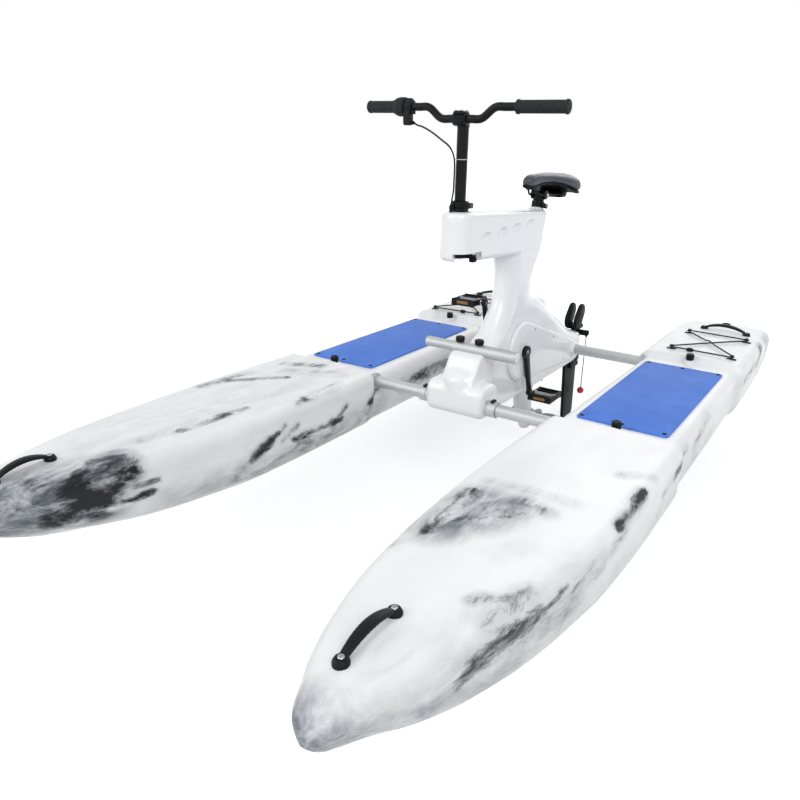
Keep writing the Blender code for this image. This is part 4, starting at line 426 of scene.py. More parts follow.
arc = np.linspace(0.08, pi - 0.12, 18)
ball_profile = np.stack([BALL_RADIUS * np.sin(arc), 0.1270 - BALL_RADIUS * np.cos(arc)], -1)
ball_profile = np.concatenate([ball_profile, [(0.0034, 0.1425), (0.0022, 0.1442)]])
ball = piece("uphaul_ball", lathe(ball_profile, (*UPHAUL_TOP[:2], 0), steps=32), red_ball, "rudder",
             "rudder_uphaul")
uphaul = piece("uphaul_line", swept(uphaul_path, UPHAUL_RADIUS, 10, (0, 1, 0)), lifting_line, "rudder")

# ---- Floats
# Two hollow floats rotomoulded in polyethylene. The white powder is dusted with blue-black pigment
# by hand, so soft grey clouds with dark hearts wander over the bows and sides. The grey low on the
# sides and round the bow tips is painted shade.
marbled_with_painted_shade, tree, place = new_material("rotomoulded_marbled_polyethylene_with_painted_shade", IOR=1.51, Specular_IOR_Level=0.30)
# Two point attributes: grey wash with painted shade in it, and black ink.
grey_wash_and_shade = node(tree, "Attribute", attribute_name="wash_and_painted_shade").outputs["Fac"]
inked = node(tree, "Attribute", attribute_name="ink").outputs["Fac"]
# The powder slumps along the mould as it melts: smears about every 50 mm across and 130 mm along,
# with finer hairs every 14 mm inside them, so the ink's edges are smoky rather than cut.
flow = node(tree, "Mapping", {"Vector": place, "Scale": (1.0, 0.38, 1.0), "Rotation": (0.10, 0.06, 0.20)})
smear = node(tree, "TexNoise", {"Vector": flow.outputs[0], "Scale": 21.0, "Detail": 9.0, "Roughness": 0.68,
                                "Distortion": 0.45})
hairs = node(tree, "TexNoise", {"Vector": flow.outputs[0], "Scale": 72.0, "Detail": 6.0, "Roughness": 0.66,
                                "Distortion": 0.6})
veil = node(tree, "TexNoise", {"Vector": flow.outputs[0], "Scale": 7.0, "Detail": 4.0, "Distortion": 0.8})
# Wash greys the white where it lies thick, and the same grey is painted shade low on the sides and round
# the bows. Ink shows black where smears, hairs and its own amount add up high enough, and a faint veil
# keeps the bare white from being flat.
thick = node(tree, "MapRange", {"Value": smear.outputs["Fac"], "From Min": 0.32, "From Max": 0.68,
                                "To Min": 0.25, "To Max": 1.35})
soft = node(tree, "Math", {0: grey_wash_and_shade, 1: thick.outputs["Result"]}, operation="MULTIPLY")
soft = node(tree, "MapRange", {"Value": soft.outputs[0], "From Min": 0.02, "From Max": 1.10})
ragged = node(tree, "MapRange", {"Value": smear.outputs["Fac"], "From Min": 0.32, "From Max": 0.68,
                                 "To Min": -0.56, "To Max": 0.56}, clamp=False)
thready = node(tree, "MapRange", {"Value": hairs.outputs["Fac"], "From Min": 0.32, "From Max": 0.68,
                                  "To Min": -0.30, "To Max": 0.30}, clamp=False)
core = node(tree, "Math", {0: ragged.outputs["Result"], 1: thready.outputs["Result"]}, operation="ADD")
core = node(tree, "Math", {0: core.outputs[0], 1: inked}, operation="ADD")
core = node(tree, "MapRange", {"Value": core.outputs[0], "From Min": 0.42, "From Max": 1.20})
shown = node(tree, "MapRange", {"Value": inked, "From Min": 0.02, "From Max": 0.45})
core = node(tree, "Math", {0: core.outputs["Result"], 1: shown.outputs["Result"]}, operation="MULTIPLY")
shade = node(tree, "MapRange", {"Value": veil.outputs["Fac"], "From Min": 0.40, "From Max": 0.68})
paint = node(tree, "Mix", {"Factor": shade.outputs["Result"], 6: linear("F6F7F7"), 7: linear("EDEFF1")},
             data_type="RGBA")
paint = node(tree, "Mix", {"Factor": soft.outputs["Result"], 6: paint.outputs[2], 7: linear("747B84")},
             data_type="RGBA")
paint = node(tree, "Mix", {"Factor": core.outputs[0], 6: paint.outputs[2], 7: linear("080A0E")}, data_type="RGBA")
rub = node(tree, "TexNoise", {"Vector": place, "Scale": 9.0, "Detail": 4.0})
peel = node(tree, "TexNoise", {"Vector": place, "Scale": 190.0, "Detail": 1.0})
coat(tree, paint.outputs[2], rub.outputs["Fac"], (0.26, 0.40), peel.outputs["Fac"], 0.00012)

# Pigment streaks of each side, in millimetres: start x, y, z, end x, y, z and radius, then how much
# grey wash and black ink they hold. The broad streaks low on the sides and round the bow tips carry
# painted shade in their grey wash, where the lower sides and bows turn away from the light.
PIGMENT_AND_SHADE_STREAKS = {
    1: (
        (412, -910, 419, 425, -745, 416, 50, 1.15, 0.1), (470, -840, 419, 500, -735, 418, 46, 1, 0.1),
        (404, -935, 419, 383, -720, 414, 20, 0.7, 1.15), (400, -880, 419, 510, -790, 419, 12, 0.6, 0.72),
        (566, -722, 417, 520, -700, 417, 24, 0.7, 0.7), (430, -800, 419, 540, -750, 418, 10, 0.5, 0.66),
        (400, -655, 414, 600, -640, 416, 20, 0.32, 0.34), (372, -1020, 412, 395, -950, 416, 10, 0.4, 0.35),
        (643, -1195, 356, 663, -1112, 376, 30, 0.8, 1.2), (663, -1112, 376, 681, -1011, 374, 25, 0.8, 1.18),
        (681, -1011, 374, 696, -900, 383, 11, 0.6, 1.05), (640, -1200, 345, 700, -880, 330, 60, 0.62, 0.28),
        (630, -1130, 412, 665, -1000, 414, 26, 0.5, 0.48), (600, -1095, 423, 612, -1070, 423, 16, 0.55, 0.5),
        (560, -930, 420, 600, -880, 420, 30, 0.16, 0), (700, -870, 365, 707, -740, 350, 30, 0.5, 0.44),
        (712, -650, 398, 706, -470, 406, 18, 0.7, 1.12), (700, -690, 360, 712, -620, 375, 20, 0.6, 0.66),
        (640, -430, 412, 700, -380, 410, 16, 0.45, 0.42), (717, -215, 349, 716, -40, 360, 18, 0.6, 1.1),
        (714, -330, 340, 716, -230, 352, 14, 0.5, 0.6), (714, 60, 330, 713, 230, 372, 24, 0.5, 0.6),
        (518, -1460, 345, 560, -1400, 300, 64, 1.25, 0.16), (575, -1370, 300, 680, -1080, 270, 74, 0.74, 0.14),
        (700, -980, 245, 712, 300, 245, 56, 0.34, 0.14), (450, -1420, 320, 380, -1200, 300, 60, 0.7, 0.12),
        (706, 1080, 412, 704, 1000, 350, 22, 0.6, 0.9), (705, 1200, 360, 690, 1380, 350, 40, 0.7, 0.6),
        (706, 760, 340, 706, 930, 362, 20, 0.55, 0.72), (600, 1440, 340, 440, 1440, 340, 40, 0.6, 0.5),
        (330, -560, 320, 328, -120, 332, 26, 0.6, 0.84), (342, 760, 320, 350, 1160, 334, 32, 0.6, 0.8),
        (395, -1290, 340, 372, -1080, 345, 34, 0.6, 0.6), (380, 50, 240, 370, 620, 250, 50, 0.6, 0.45),
    ),
    -1: (
        (-394, -1166, 322, -399, -1220, 384, 46, 1.1, 1.3), (-368, -1090, 393, -392, -1160, 340, 34, 1, 1.25),
        (-390, -1190, 350, -424, -1270, 312, 42, 1.2, 1.08), (-382, -1110, 311, -366, -1035, 311, 12, 0.7, 1.15),
        (-376, -1100, 345, -364, -1020, 342, 10, 0.6, 0.95), (-437, -1340, 360, -400, -1190, 345, 80, 1.35, 0.45),
        (-440, -1300, 420, -395, -1100, 414, 42, 1.15, 0.72), (-510, -1440, 340, -450, -1330, 340, 85, 1.25, 0.4),
        (-600, -1400, 340, -660, -1200, 330, 60, 0.8, 0.5), (-420, -890, 419, -408, -660, 416, 18, 0.6, 0.8),
        (-440, -990, 420, -430, -820, 419, 26, 0.46, 0.3), (-645, -525, 412, -507, -387, 413, 20, 0.65, 0.92),
        (-660, -600, 408, -640, -410, 412, 26, 0.6, 0.72), (-606, -262, 413, -500, -220, 412, 26, 0.7, 0.66),
        (-560, -330, 413, -400, -250, 412, 40, 0.46, 0.25), (-326, -520, 412, -319, -325, 412, 14, 0.6, 1.05),
        (-340, -480, 414, -350, -300, 413, 16, 0.5, 0.6), (-334, -715, 296, -322, -650, 322, 22, 0.8, 1.2),
        (-323, -650, 330, -320, -590, 354, 12, 0.6, 1), (-320, -600, 310, -319, -540, 340, 12, 0.6, 0.8),
        (-320, -556, 299, -319, -330, 294, 15, 0.7, 1.2), (-319, -350, 300, -319, -300, 330, 12, 0.6, 0.9),
        (-321, -165, 304, -321, -100, 338, 19, 0.7, 1.18), (-330, -760, 250, -323, -100, 246, 46, 0.72, 0.4),
        (-520, -1050, 420, -500, -240, 414, 150, 0.24, 0), (-335, -1000, 260, -330, -800, 240, 50, 0.5, 0.12),
        (-335, 60, 300, -335, 560, 315, 26, 0.7, 0.8), (-345, 840, 330, -360, 1220, 344, 36, 0.7, 0.7),
        (-415, 800, 411, -430, 990, 412, 18, 0.6, 0.8), (-560, 760, 411, -470, 900, 412, 60, 0.36, 0.1),
        (-700, -930, 340, -706, -480, 362, 28, 0.6, 0.92), (-700, 260, 330, -702, 780, 334, 28, 0.6, 0.84),
        (-660, 1180, 384, -600, 1400, 360, 50, 0.7, 0.66), (-440, 1440, 340, -560, 1445, 330, 40, 0.6, 0.55),
    ),
}
# A shallow dish pressed into the bow deck: its middle x and y, half length and half width.
DISH = (0.553, -1.262, 0.088, 0.036)


def fillet_arc(corner, before, after, radius, count):
    """Points of an arc that rounds a corner between two others, for every station at once:
    centre on the bisector, ends where the arc leaves the two straight sides."""
    back = before - corner
    ahead = after - corner
    back /= np.linalg.norm(back, axis=-1, keepdims=True)
    ahead /= np.linalg.norm(ahead, axis=-1, keepdims=True)
    half = 0.5 * np.arccos(np.clip((back * ahead).sum(-1), -1, 1))[:, None]
    middle = back + ahead
    centre = corner + middle / np.linalg.norm(middle, axis=-1, keepdims=True) * radius[:, None] / np.sin(half)
    start = corner + back * radius[:, None] / np.tan(half) - centre
    end = corner + ahead * radius[:, None] / np.tan(half) - centre
    turn = np.arctan2(start[:, 0] * end[:, 1] - start[:, 1] * end[:, 0], (start * end).sum(-1))
    angle = turn[:, None] * np.linspace(0, 1, count)
    x = centre[:, :1] + start[:, :1] * np.cos(angle) - start[:, 1:] * np.sin(angle)
    z = centre[:, 1:] + start[:, :1] * np.sin(angle) + start[:, 1:] * np.cos(angle)
    return np.stack([x, z], -1)


def spaced(start, end, count):
    """count points on the straight line between two points, without the last, at every station."""
    t = np.linspace(0, 1, count, endpoint=False)[None, :, None]
    return start[:, None] * (1 - t) + end[:, None] * t


def float_skin(side):
    """The float as a function of station y and place round the section: crowned deck, rounded
    edge, flared side, rounded chine and narrow keel, mirrored about the middle line."""
    y = -1.45 + 2.9 * 0.5 * (1 - np.cos(pi * np.linspace(0, 1, 61)))
    steps = [np.linspace(start - 0.002, start + 0.034, 12) for start in (WELL[0], WELL[1] - 0.032)]
    y = np.unique(np.round(np.concatenate([y, np.linspace(-1.44, 1.44, 320), *steps]), 5))
    half, keel, deck, crown = float_sizes(y)
    edge_radius = np.minimum.reduce([np.full_like(y, 0.036), 0.5 * half, 0.4 * (deck - keel)])
    flat = np.minimum(0.018, 0.35 * half)
    rise = np.minimum(0.048, 0.4 * (deck - keel))
    zero = np.zeros_like(y)
    top, edge = np.stack([zero, deck + crown], -1), np.stack([half, deck], -1)
    chine = np.stack([half * faired(FLOAT_LINES, 4, y), keel + rise], -1)
    foot, under = np.stack([flat, keel], -1), np.stack([zero, keel], -1)
    bilge = np.minimum.reduce([np.full_like(y, 0.085), 0.75 * (chine[:, 0] - flat),
                               0.6 * (deck - keel - edge_radius)])
    gunwale = fillet_arc(edge, np.stack([zero, deck], -1), chine, edge_radius, 11)
    turn = fillet_arc(chine, edge, foot, bilge, 12)
    halfway = np.concatenate([
        spaced(top, gunwale[:, 0], 20), gunwale, spaced(gunwale[:, -1], turn[:, 0], 14)[:, 1:], turn,
        spaced(turn[:, -1], foot, 7)[:, 1:], spaced(foot, under, 3), under[:, None],
    ], 1)
    outline = np.concatenate([halfway, (halfway * (-1, 1))[:, -2:0:-1]], 1)
    x, z = outline[..., 0], outline[..., 1]
    stations = np.broadcast_to(y[:, None], x.shape)
    on_deck = smoothed((z - deck[:, None] + 0.012) / 0.010)
    reach = np.hypot((stations - DISH[1]) / DISH[2], (x - (DISH[0] - FLOAT_X)) / DISH[3])
    z = z - 0.0050 * on_deck * (1 - smoothed((reach - 0.62) / 0.38))
    return np.stack([side * (FLOAT_X + x), stations, z], -1)


def pigment_and_shade_on(points, side):
    """How much grey wash, painted shade included, and black ink lie on each point: the strongest of the
    streaks there, each fading with the distance from its line, in units of its radius."""
    layers = np.zeros((2, len(points)))
    for *ends, radius, wash_and_painted_shade, ink in PIGMENT_AND_SHADE_STREAKS[side]:
        start, end = np.reshape(ends, (2, 3)) / 1000
        line = end - start
        share = np.clip((points - start) @ line / (line @ line), 0, 1)[:, None]
        reach = np.linalg.norm(points - start - share * line, axis=1) / (radius / 1000)
        fade = np.stack([1 - smoothed((reach - 0.20) / 1.90), 1 - smoothed((reach - 0.20) / 1.40)])
        layers = np.maximum(layers, fade * np.array([[wash_and_painted_shade], [ink]]))
    return layers


# Moulded nylon: near black, with a low, even sheen.
moulded_black = finish("moulded_black_nylon", ("0C0D0F", "141517"), (0.42, 0.55), (0.9, 0.05),
                       Specular_IOR_Level=0.18)
for side, label in SIDES:
    shape = surface(float_skin(side))
    hull = piece(f"float_{label}", shape, marbled_with_painted_shade, "boat", f"hull_{label}", crease=60)
    # Each point of the float gets its grey wash, painted shade included, and its black ink.
    for layer_name, amount in zip(("wash_and_painted_shade", "ink"), pigment_and_shade_on(shape[0], side)):
        layer = hull.data.attributes.new(layer_name, "FLOAT", "POINT")
        layer.data.foreach_set("value", amount.astype(np.float32))

# ---- Deck pads
# A blue closed-cell foam pad on each float, glued into the well and held by small button rivets at
# its corners and the middle of both ends. Its die-cut edge is rounded and its face finely pebbled.
foam = finish("embossed_blue_eva_foam", ("477DDC", "3F74D2"), (0.72, 0.86), (2.2, 0.30), blotch=140.0,
              Sheen_Weight=0.10)


def rounded_outline(low, high, radius, steps=8):
    """A rectangle with rounded corners as a ring of points in its plane."""
    angle = np.linspace(0, pi / 2, steps)
    corners = [((high[0] - radius, high[1] - radius), 0), ((low[0] + radius, high[1] - radius), 1),
               ((low[0] + radius, low[1] + radius), 2), ((high[0] - radius, low[1] + radius), 3)]
    return np.concatenate([np.stack([c[0] + radius * np.cos(angle + k * pi / 2),
                                     c[1] + radius * np.sin(angle + k * pi / 2)], -1) for c, k in corners])


def slab(outline, low, high, axis="Z", edge=0.0, steps=5):
    """A plate of one outline between two heights on an axis: rings rise along it, and near both
    faces they draw in by a quarter circle of radius edge, along the outline's own normals."""
    outline = np.asarray(outline, float)
    back = outline - np.roll(outline, 1, 0)
    ahead = np.roll(outline, -1, 0) - outline
    back /= np.maximum(np.linalg.norm(back, axis=1, keepdims=True), 1e-9)
    ahead /= np.maximum(np.linalg.norm(ahead, axis=1, keepdims=True), 1e-9)
    normal = np.stack([(back + ahead)[:, 1], -(back + ahead)[:, 0]], -1)
    normal /= np.maximum((normal * normal).sum(1, keepdims=True) / 2, 1e-9) ** 0.5 * 2 ** 0.5
    x, y = outline.T
    if (x * np.roll(y, -1) - y * np.roll(x, -1)).sum() < 0:
        normal = -normal
    if edge:
        turn = np.linspace(0, pi / 2, steps)
        inset = edge * np.concatenate([1 - np.sin(turn), (1 - np.sin(turn))[::-1]])
        height = np.concatenate([low + edge * (1 - np.cos(turn)), high - edge * (1 - np.cos(turn))[::-1]])
    else:
        inset, height = np.zeros(2), np.array((low, high))
    flat = outline[None] - normal[None] * inset[:, None, None]
    tall = np.broadcast_to(height[:, None, None], (*flat.shape[:2], 1))
    order = {"X": (2, 0, 1), "Y": (0, 2, 1), "Z": (0, 1, 2)}[axis]
    return surface(np.concatenate([flat, tall], -1)[..., order])


# Turned stainless steel: bright grey, with small crisp highlights.
stainless = finish("turned_stainless_steel", ("B9BCC0", "A9ADB2"), (0.22, 0.36), (1.0, 0.02), metallic=1.0)
button = [(0.0002, 0.3948), (0.0068, 0.3948), (0.0068, 0.3962), (0.0052, 0.3974), (0.0022, 0.3980),
          (0.0003, 0.3981)]
for side, label in SIDES:
    middle = side * FLOAT_X
    outline = rounded_outline((middle - 0.136, -0.080), (middle + 0.136, 0.613), 0.014)
    pad = piece(f"foot_pad_{label}", slab(outline, 0.3888, 0.3953, edge=0.0024), foam, "boat",
                f"deck_pad_{label}", crease=60)
    rivets = [lathe(button, (middle + x, y, 0), steps=20) for y in (-0.064, 0.597) for x in (-0.122, 0, 0.122)]
    piece(f"pad_rivets_{label}", merged(*rivets), moulded_black, "boat")

# ---- Carry handles
# A nylon strap arched between two round feet, each held down by a stainless cap screw.
BOW_HANDLE = ((0.508, -1.347), (0.510, -1.207))
STERN_HANDLE = ((0.456, 1.172), (0.625, 1.160))
for side, label in SIDES:
    for name, ends in ((f"bow_handle_{label}", BOW_HANDLE), (f"stern_handle_{label}", STERN_HANDLE)):
        start, end = (np.array((side * x, y, float(deck_height(x - FLOAT_X, y)) - 0.0019)) for x, y in ends)
        t = np.linspace(0, 1, 41)[:, None]
        arch = start + (end - start) * t + np.concatenate(
            [np.zeros((41, 2)), 0.022 * np.sin(pi * t) ** 0.7 + 0.006], 1)
        along = (end - start) / np.linalg.norm(end - start)
        across = np.cross((0, 0, 1), along)
        angle = np.arange(24) * 2 * pi / 24
        wide = 0.0080 + 0.0035 * np.sin(pi * t)
        thick = 0.0045 + 0.0015 * np.sin(pi * t)
        ribs = 1 + 0.035 * np.sin(pi * t) * np.cos(46 * pi * t)
        outline = np.stack([np.sign(np.cos(angle)) * np.abs(np.cos(angle)) ** 0.6,
                            np.sign(np.sin(angle)) * np.abs(np.sin(angle)) ** 0.8], -1)
        rings = arch[:, None] + (wide * ribs)[:, None] * outline[None, :, :1] * across \
            + (thick * ribs)[:, None] * outline[None, :, 1:] * np.array((0, 0, 1))
        foot = [(0.0, 0), (0.015, 0), (0.015, 0.006), (0.0143, 0.0078), (0.0118, 0.0125), (0.0105, 0.0137),
                (0.0078, 0.0141), (0.0076, 0.0128), (0.0, 0.0128)]
        strap = merged(surface(rings), *[lathe(foot, tuple(spot), steps=32) for spot in (start, end)])
        piece(name.replace("handle", "strap"), strap, moulded_black, "boat", name, crease=40)
        screw = [(0.0, 0.0125), (0.0062, 0.0125), (0.0062, 0.0150), (0.0054, 0.0160), (0.0028, 0.0162),
                 (0.0027, 0.0140), (0.0, 0.0140)]
        screws = merged(*[lathe(screw, tuple(spot), steps=20) for spot in (start, end)])
        piece(name.replace("handle", "screws"), screws, stainless, "boat")

# ---- Cross tubes
# Two drawn aluminium tubes, 40 mm across, run through the housing into sockets in both floats. A
# rubber gasket seals each tube where it enters a float, and clamps or collars hold it at the housing.
TUBE_Z = 0.366
FRONT_TUBE_Y, REAR_TUBE_Y = -0.116, 0.690
# Brushed lengthwise and clear anodised: pale grey metal with fine scratches along the tube.
brushed_tube, tree, place = new_material("brushed_anodised_aluminium_tube", Metallic=1.0)
drawn = node(tree, "Mapping", {"Vector": place, "Scale": (6.0, 420.0, 420.0)})
lines = node(tree, "TexNoise", {"Vector": drawn.outputs[0], "Scale": 1.0, "Detail": 3.0, "Roughness": 0.6})
dull = node(tree, "TexNoise", {"Vector": place, "Scale": 14.0, "Detail": 4.0})
tone = node(tree, "Mix", {"Factor": dull.outputs["Fac"], 6: linear("B4B7B8"), 7: linear("C6C8C9")},
            data_type="RGBA")
coat(tree, tone.outputs[2], lines.outputs["Fac"], (0.50, 0.64), lines.outputs["Fac"], 0.00008)

# Pale gasket rubber is matt. Moulded ABS is a cold white whose glossy skin mirrors the lamps.
gasket_rubber = finish("moulded_pale_rubber_gasket", ("C4C7C9", "B6BABD"), (0.65, 0.8), (1.5, 0.08))
white_abs = finish("glossy_white_moulded_abs", ("F5F6F6", "EFF0F2"), (0.16, 0.27), (7.0, 0.05), blotch=260.0,
                   Coat_Weight=0.35, Coat_Roughness=0.08)
drawn_outline = [(0.0, -0.5645), (0.0165, -0.5645), (0.0165, -0.5650), (0.0190, -0.5650), (0.0200, -0.5640),
                 (0.0200, 0.5640), (0.0190, 0.5650), (0.0165, 0.5650), (0.0165, 0.5645), (0.0, 0.5645)]
gasket = [(0.0201, -0.0050), (0.0262, -0.0050), (0.0278, -0.0030), (0.0282, 0.0080), (0.0201, 0.0080),
          (0.0201, -0.0050)]
for name, y in (("front_tube", FRONT_TUBE_Y), ("rear_tube", REAR_TUBE_Y)):
    piece(f"{name}_drawn", lathe(drawn_outline, (0, y, TUBE_Z), (1, 0, 0), 48), brushed_tube, "boat",
          name)
    face = FLOAT_X - float(float_sizes(np.array([y]))[0][0])
    rims = [lathe(gasket, (side * face, y, TUBE_Z), (side, 0, 0), 40) for side in (1, -1)]
    piece(f"{name}_gaskets", merged(*rims), gasket_rubber, "boat")

# ---- Centre housing
# One hollow moulding in glossy white: a nose round the front tube, the drive body, the column and
# the beam that carries the steering head and the saddle, all blended with soft fillets.
# The body's levels: z, front y, rear y and half width.
BODY_LINES = np.array((
    (0.292, -0.010, 0.800, 0.044), (0.300, -0.050, 0.845, 0.048), (0.322, -0.110, 0.866, 0.050),
    (0.350, -0.150, 0.870, 0.050), (0.386, -0.158, 0.866, 0.050), (0.412, -0.158, 0.800, 0.050),
    (0.440, -0.157, 0.716, 0.050), (0.464, -0.140, 0.672, 0.050), (0.484, -0.086, 0.638, 0.050),
    (0.506, -0.022, 0.600, 0.050), (0.535, 0.018, 0.550, 0.049), (0.570, 0.052, 0.488, 0.047),
    (0.610, 0.084, 0.410, 0.045), (0.640, 0.104, 0.352, 0.0435), (0.670, 0.114, 0.328, 0.043),
    (0.740, 0.118, 0.338, 0.0445), (0.800, 0.106, 0.352, 0.0485), (0.850, 0.070, 0.366, 0.0500),
))
STEER_Y, BEAM_TOP_Z, BEAM_TILT = -0.163, 0.966, radians(-3.2)
SEAT_Y, SEAT_Z, SEAT_TILT = 0.352, 0.850, radians(15)
seat_line = np.array((0, sin(SEAT_TILT), cos(SEAT_TILT)))
seat_foot = np.array((0, SEAT_Y, SEAT_Z))


def body_skin():
    """The drive body and column: a plan section at each height with quarter ellipses at its front
    and back, short ones at the shoulder under the foot bar and where the column meets the beam."""
    z = np.linspace(0.292, 0.850, 140)
    front, rear, half = (faired(BODY_LINES, k, z)[:, None] for k in (1, 2, 3))
    length = rear - front
    shoulder = smoothed((0.560 - z) / 0.050)[:, None]
    nose = np.minimum(0.075 - 0.047 * shoulder, 0.42 * length)
    tail = np.minimum(0.09 - 0.055 * smoothed((z - 0.70) / 0.12)[:, None], 0.40 * length)
    tail_half = half - (half - 0.044) * np.clip((length - 0.35) / 0.45, 0, 1)
    a = np.linspace(0, pi / 2, 14)[None]
    ahead = np.stack([-half * np.sin(a), front + nose * (1 - np.cos(a))], -1)
    width = tail_half + (half - tail_half) * (1 - np.sin(a)) ** 1.3
    behind = np.stack([-width * np.abs(np.cos(a)) ** 0.8, rear - tail * (1 - np.sin(a))], -1)
    t = np.linspace(0, 1, 24)[None, 1:-1, None]
    flank = ahead[:, -1:] * (1 - t) + behind[:, :1] * t
    starboard = np.concatenate([ahead, flank, behind], 1)
    outline = np.concatenate([starboard, (starboard * (-1, 1))[:, -2:0:-1]], 1)
    return surface(np.concatenate([outline, np.broadcast_to(z[:, None, None], (*outline.shape[:2], 1))], -1))


def beam_skin():
    """The head and beam: a plan outline with a round front and a squarer back, drawn in along
    its rims, its back leaned, then tilted about the top of the steering axis."""
    turn = np.linspace(0, pi / 2, 7)
    edge = 0.014
    low, high = BEAM_TOP_Z - 0.140, BEAM_TOP_Z
    z = np.concatenate([low + edge * (1 - np.cos(turn)), np.linspace(low + edge, high - edge, 14)[1:-1],
                        high - edge * (1 - np.cos(turn[::-1]))])[:, None]
    inset = np.concatenate([edge * (1 - np.sin(turn)), np.zeros(12), edge * (1 - np.sin(turn[::-1]))])[:, None]
    a = np.linspace(0, pi, 40)[None]
    front = 0.052 - inset
    ahead = np.stack([-front * np.cos(a), STEER_Y - front * np.sin(a)], -1)
    rear, end, corner = 0.050 - inset, 0.382 - inset - 0.26 * (BEAM_TOP_Z - z), 0.030
    b = np.linspace(0, pi / 2, 9)[None]
    port = np.stack([rear - corner * (1 - np.cos(b)), end - corner * (1 - np.sin(b))], -1)
    outline = np.concatenate([ahead, port, (port * (-1, 1))[:, ::-1]], 1)
    rings = np.concatenate([outline, np.broadcast_to(z[..., None], (*outline.shape[:2], 1))], -1)
    y, z = rings[..., 1] - STEER_Y, rings[..., 2] - BEAM_TOP_Z
    rings[..., 1] = STEER_Y + y * cos(BEAM_TILT) - z * sin(BEAM_TILT)
    rings[..., 2] = BEAM_TOP_Z + y * sin(BEAM_TILT) + z * cos(BEAM_TILT)
    return surface(rings)


nose = rounded_outline((-0.158, 0.326), (-0.036, 0.432), 0.034, 9)
chin = np.array(((-0.1575, 0.385), (-0.1535, 0.418), (-0.092, 0.511), (-0.076, 0.519), (-0.024, 0.519),
                 (0.030, 0.470), (0.010, 0.390)))
boss = lathe([(0.0, 0.955), (0.047, 0.955), (0.047, 0.9640), (0.040, 0.9672), (0.032, 0.9688), (0.0, 0.9688)],
             (0, STEER_Y, 0))
sockets = [lathe([(0.0, 0.0), (0.0255, 0.0), (0.0275, 0.002), (0.030, 0.012), (0.031, 0.030), (0.0, 0.030)],
                 (side * 0.060, REAR_TUBE_Y, TUBE_Z), (-side, 0, 0)) for side in (1, -1)]
# The saddle tube's socket stands out as a rounded rib down the column's back.
seat_rib = lathe([(0.0, -0.1500), (0.0150, -0.1500), (0.0250, -0.1350), (0.0250, 0.0935), (0.0, 0.0935)], seat_foot,
                 seat_line, 44)
raw = merged(body_skin(), beam_skin(), slab(nose, -0.104, 0.104, "X", 0.018), slab(chin, -0.058, 0.058, "X", 0.009),
             boss, seat_rib, *sockets)


def worked(made):
    """The mesh that an object's modifiers give."""
    return bpy.data.meshes.new_from_object(made.evaluated_get(bpy.context.evaluated_depsgraph_get()))


# The forms are fused by a voxel skin, whose steps and inner corners are then eased into fillets.
blank = laid_out("housing_raw", raw)
blend = blank.modifiers.new("voxels", "REMESH")
blend.mode = "VOXEL"
blend.voxel_size = 0.0036
ease = blank.modifiers.new("fillets", "SMOOTH")
ease.factor = 0.5
ease.iterations = 12
smooth_mesh = worked(blank)
bpy.data.objects.remove(blank)
points = np.empty(len(smooth_mesh.vertices) * 3, np.float32)
smooth_mesh.vertices.foreach_get("co", points)
points = points.reshape(-1, 3).astype(float)
# Four slanting finger slots are pressed 7.5 mm into each side of the beam, each lower than the next.
SLOT_DEPTH, SLOT_PITCH, SLOT_RISE, SLOT_SLANT = 0.0075, 0.103, 0.0095, 0.16
along = points[:, 1] - STEER_Y
height = points[:, 2] - BEAM_TOP_Z - along * np.sin(BEAM_TILT)
flank = np.sign(points[:, 0]) * (np.abs(points[:, 0]) > 0.03)
for k in range(4):
    u = along - 0.078 - SLOT_PITCH * k
    v = height + 0.068 - SLOT_RISE * k - SLOT_SLANT * u
    reach = np.sqrt((u / 0.036) ** 2 + (v / 0.0115) ** 2)
    points[:, 0] -= flank * SLOT_DEPTH * (1 - smoothed((reach - 0.45) / 0.55))
smooth_mesh.vertices.foreach_set("co", points.astype(np.float32).ravel())
smooth_mesh.name = "housing_moulding"
smooth_mesh.materials.clear()
smooth_mesh.materials.append(white_abs)
smooth_mesh.shade_smooth()
housing = bpy.data.objects.new("housing_moulding", smooth_mesh)
bpy.context.scene.collection.objects.link(housing)


def teardrop(first, first_radius, second, second_radius, steps=40):
    """The outline round two circles: an arc of each, joined by their outer tangents."""
    first, second = np.asarray(first, float), np.asarray(second, float)
    along = np.arctan2(*(second - first)[::-1])
    lean = np.arcsin((first_radius - second_radius) / np.linalg.norm(second - first))
    big = np.linspace(along + pi / 2 - lean, along + 3 * pi / 2 + lean, steps)
    small = np.linspace(along - pi / 2 + lean, along + pi / 2 - lean, steps // 2)
    return np.concatenate([first + first_radius * np.stack([np.cos(big), np.sin(big)], -1),
                           second + second_radius * np.stack([np.cos(small), np.sin(small)], -1)])


# A pocket under the beam's head leaves room for the steering arm and its rod to swing 35 degrees
# each way: a wide sector on their side, and a narrow round about the rest of the steerer.
wide, narrow = np.radians(np.linspace(-75, 98, 30)), np.radians(np.linspace(98, 285, 20))
swing = np.concatenate([reach * np.stack([np.cos(turn), np.sin(turn)], -1)
                        for reach, turn in ((0.074, wide), (0.031, narrow))])
pocket = laid_out("cutter", slab(swing + (0, STEER_Y), 0.78, 0.8525))
trim = housing.modifiers.new("arm_pocket", "BOOLEAN")
trim.operation = "DIFFERENCE"
trim.object = pocket
final_mesh = worked(housing)
housing.modifiers.clear()
housing.data = final_mesh
final_mesh.set_sharp_from_angle(angle=radians(40))
bpy.data.objects.remove(pocket)
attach(housing, "boat")
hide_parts("centre_housing")

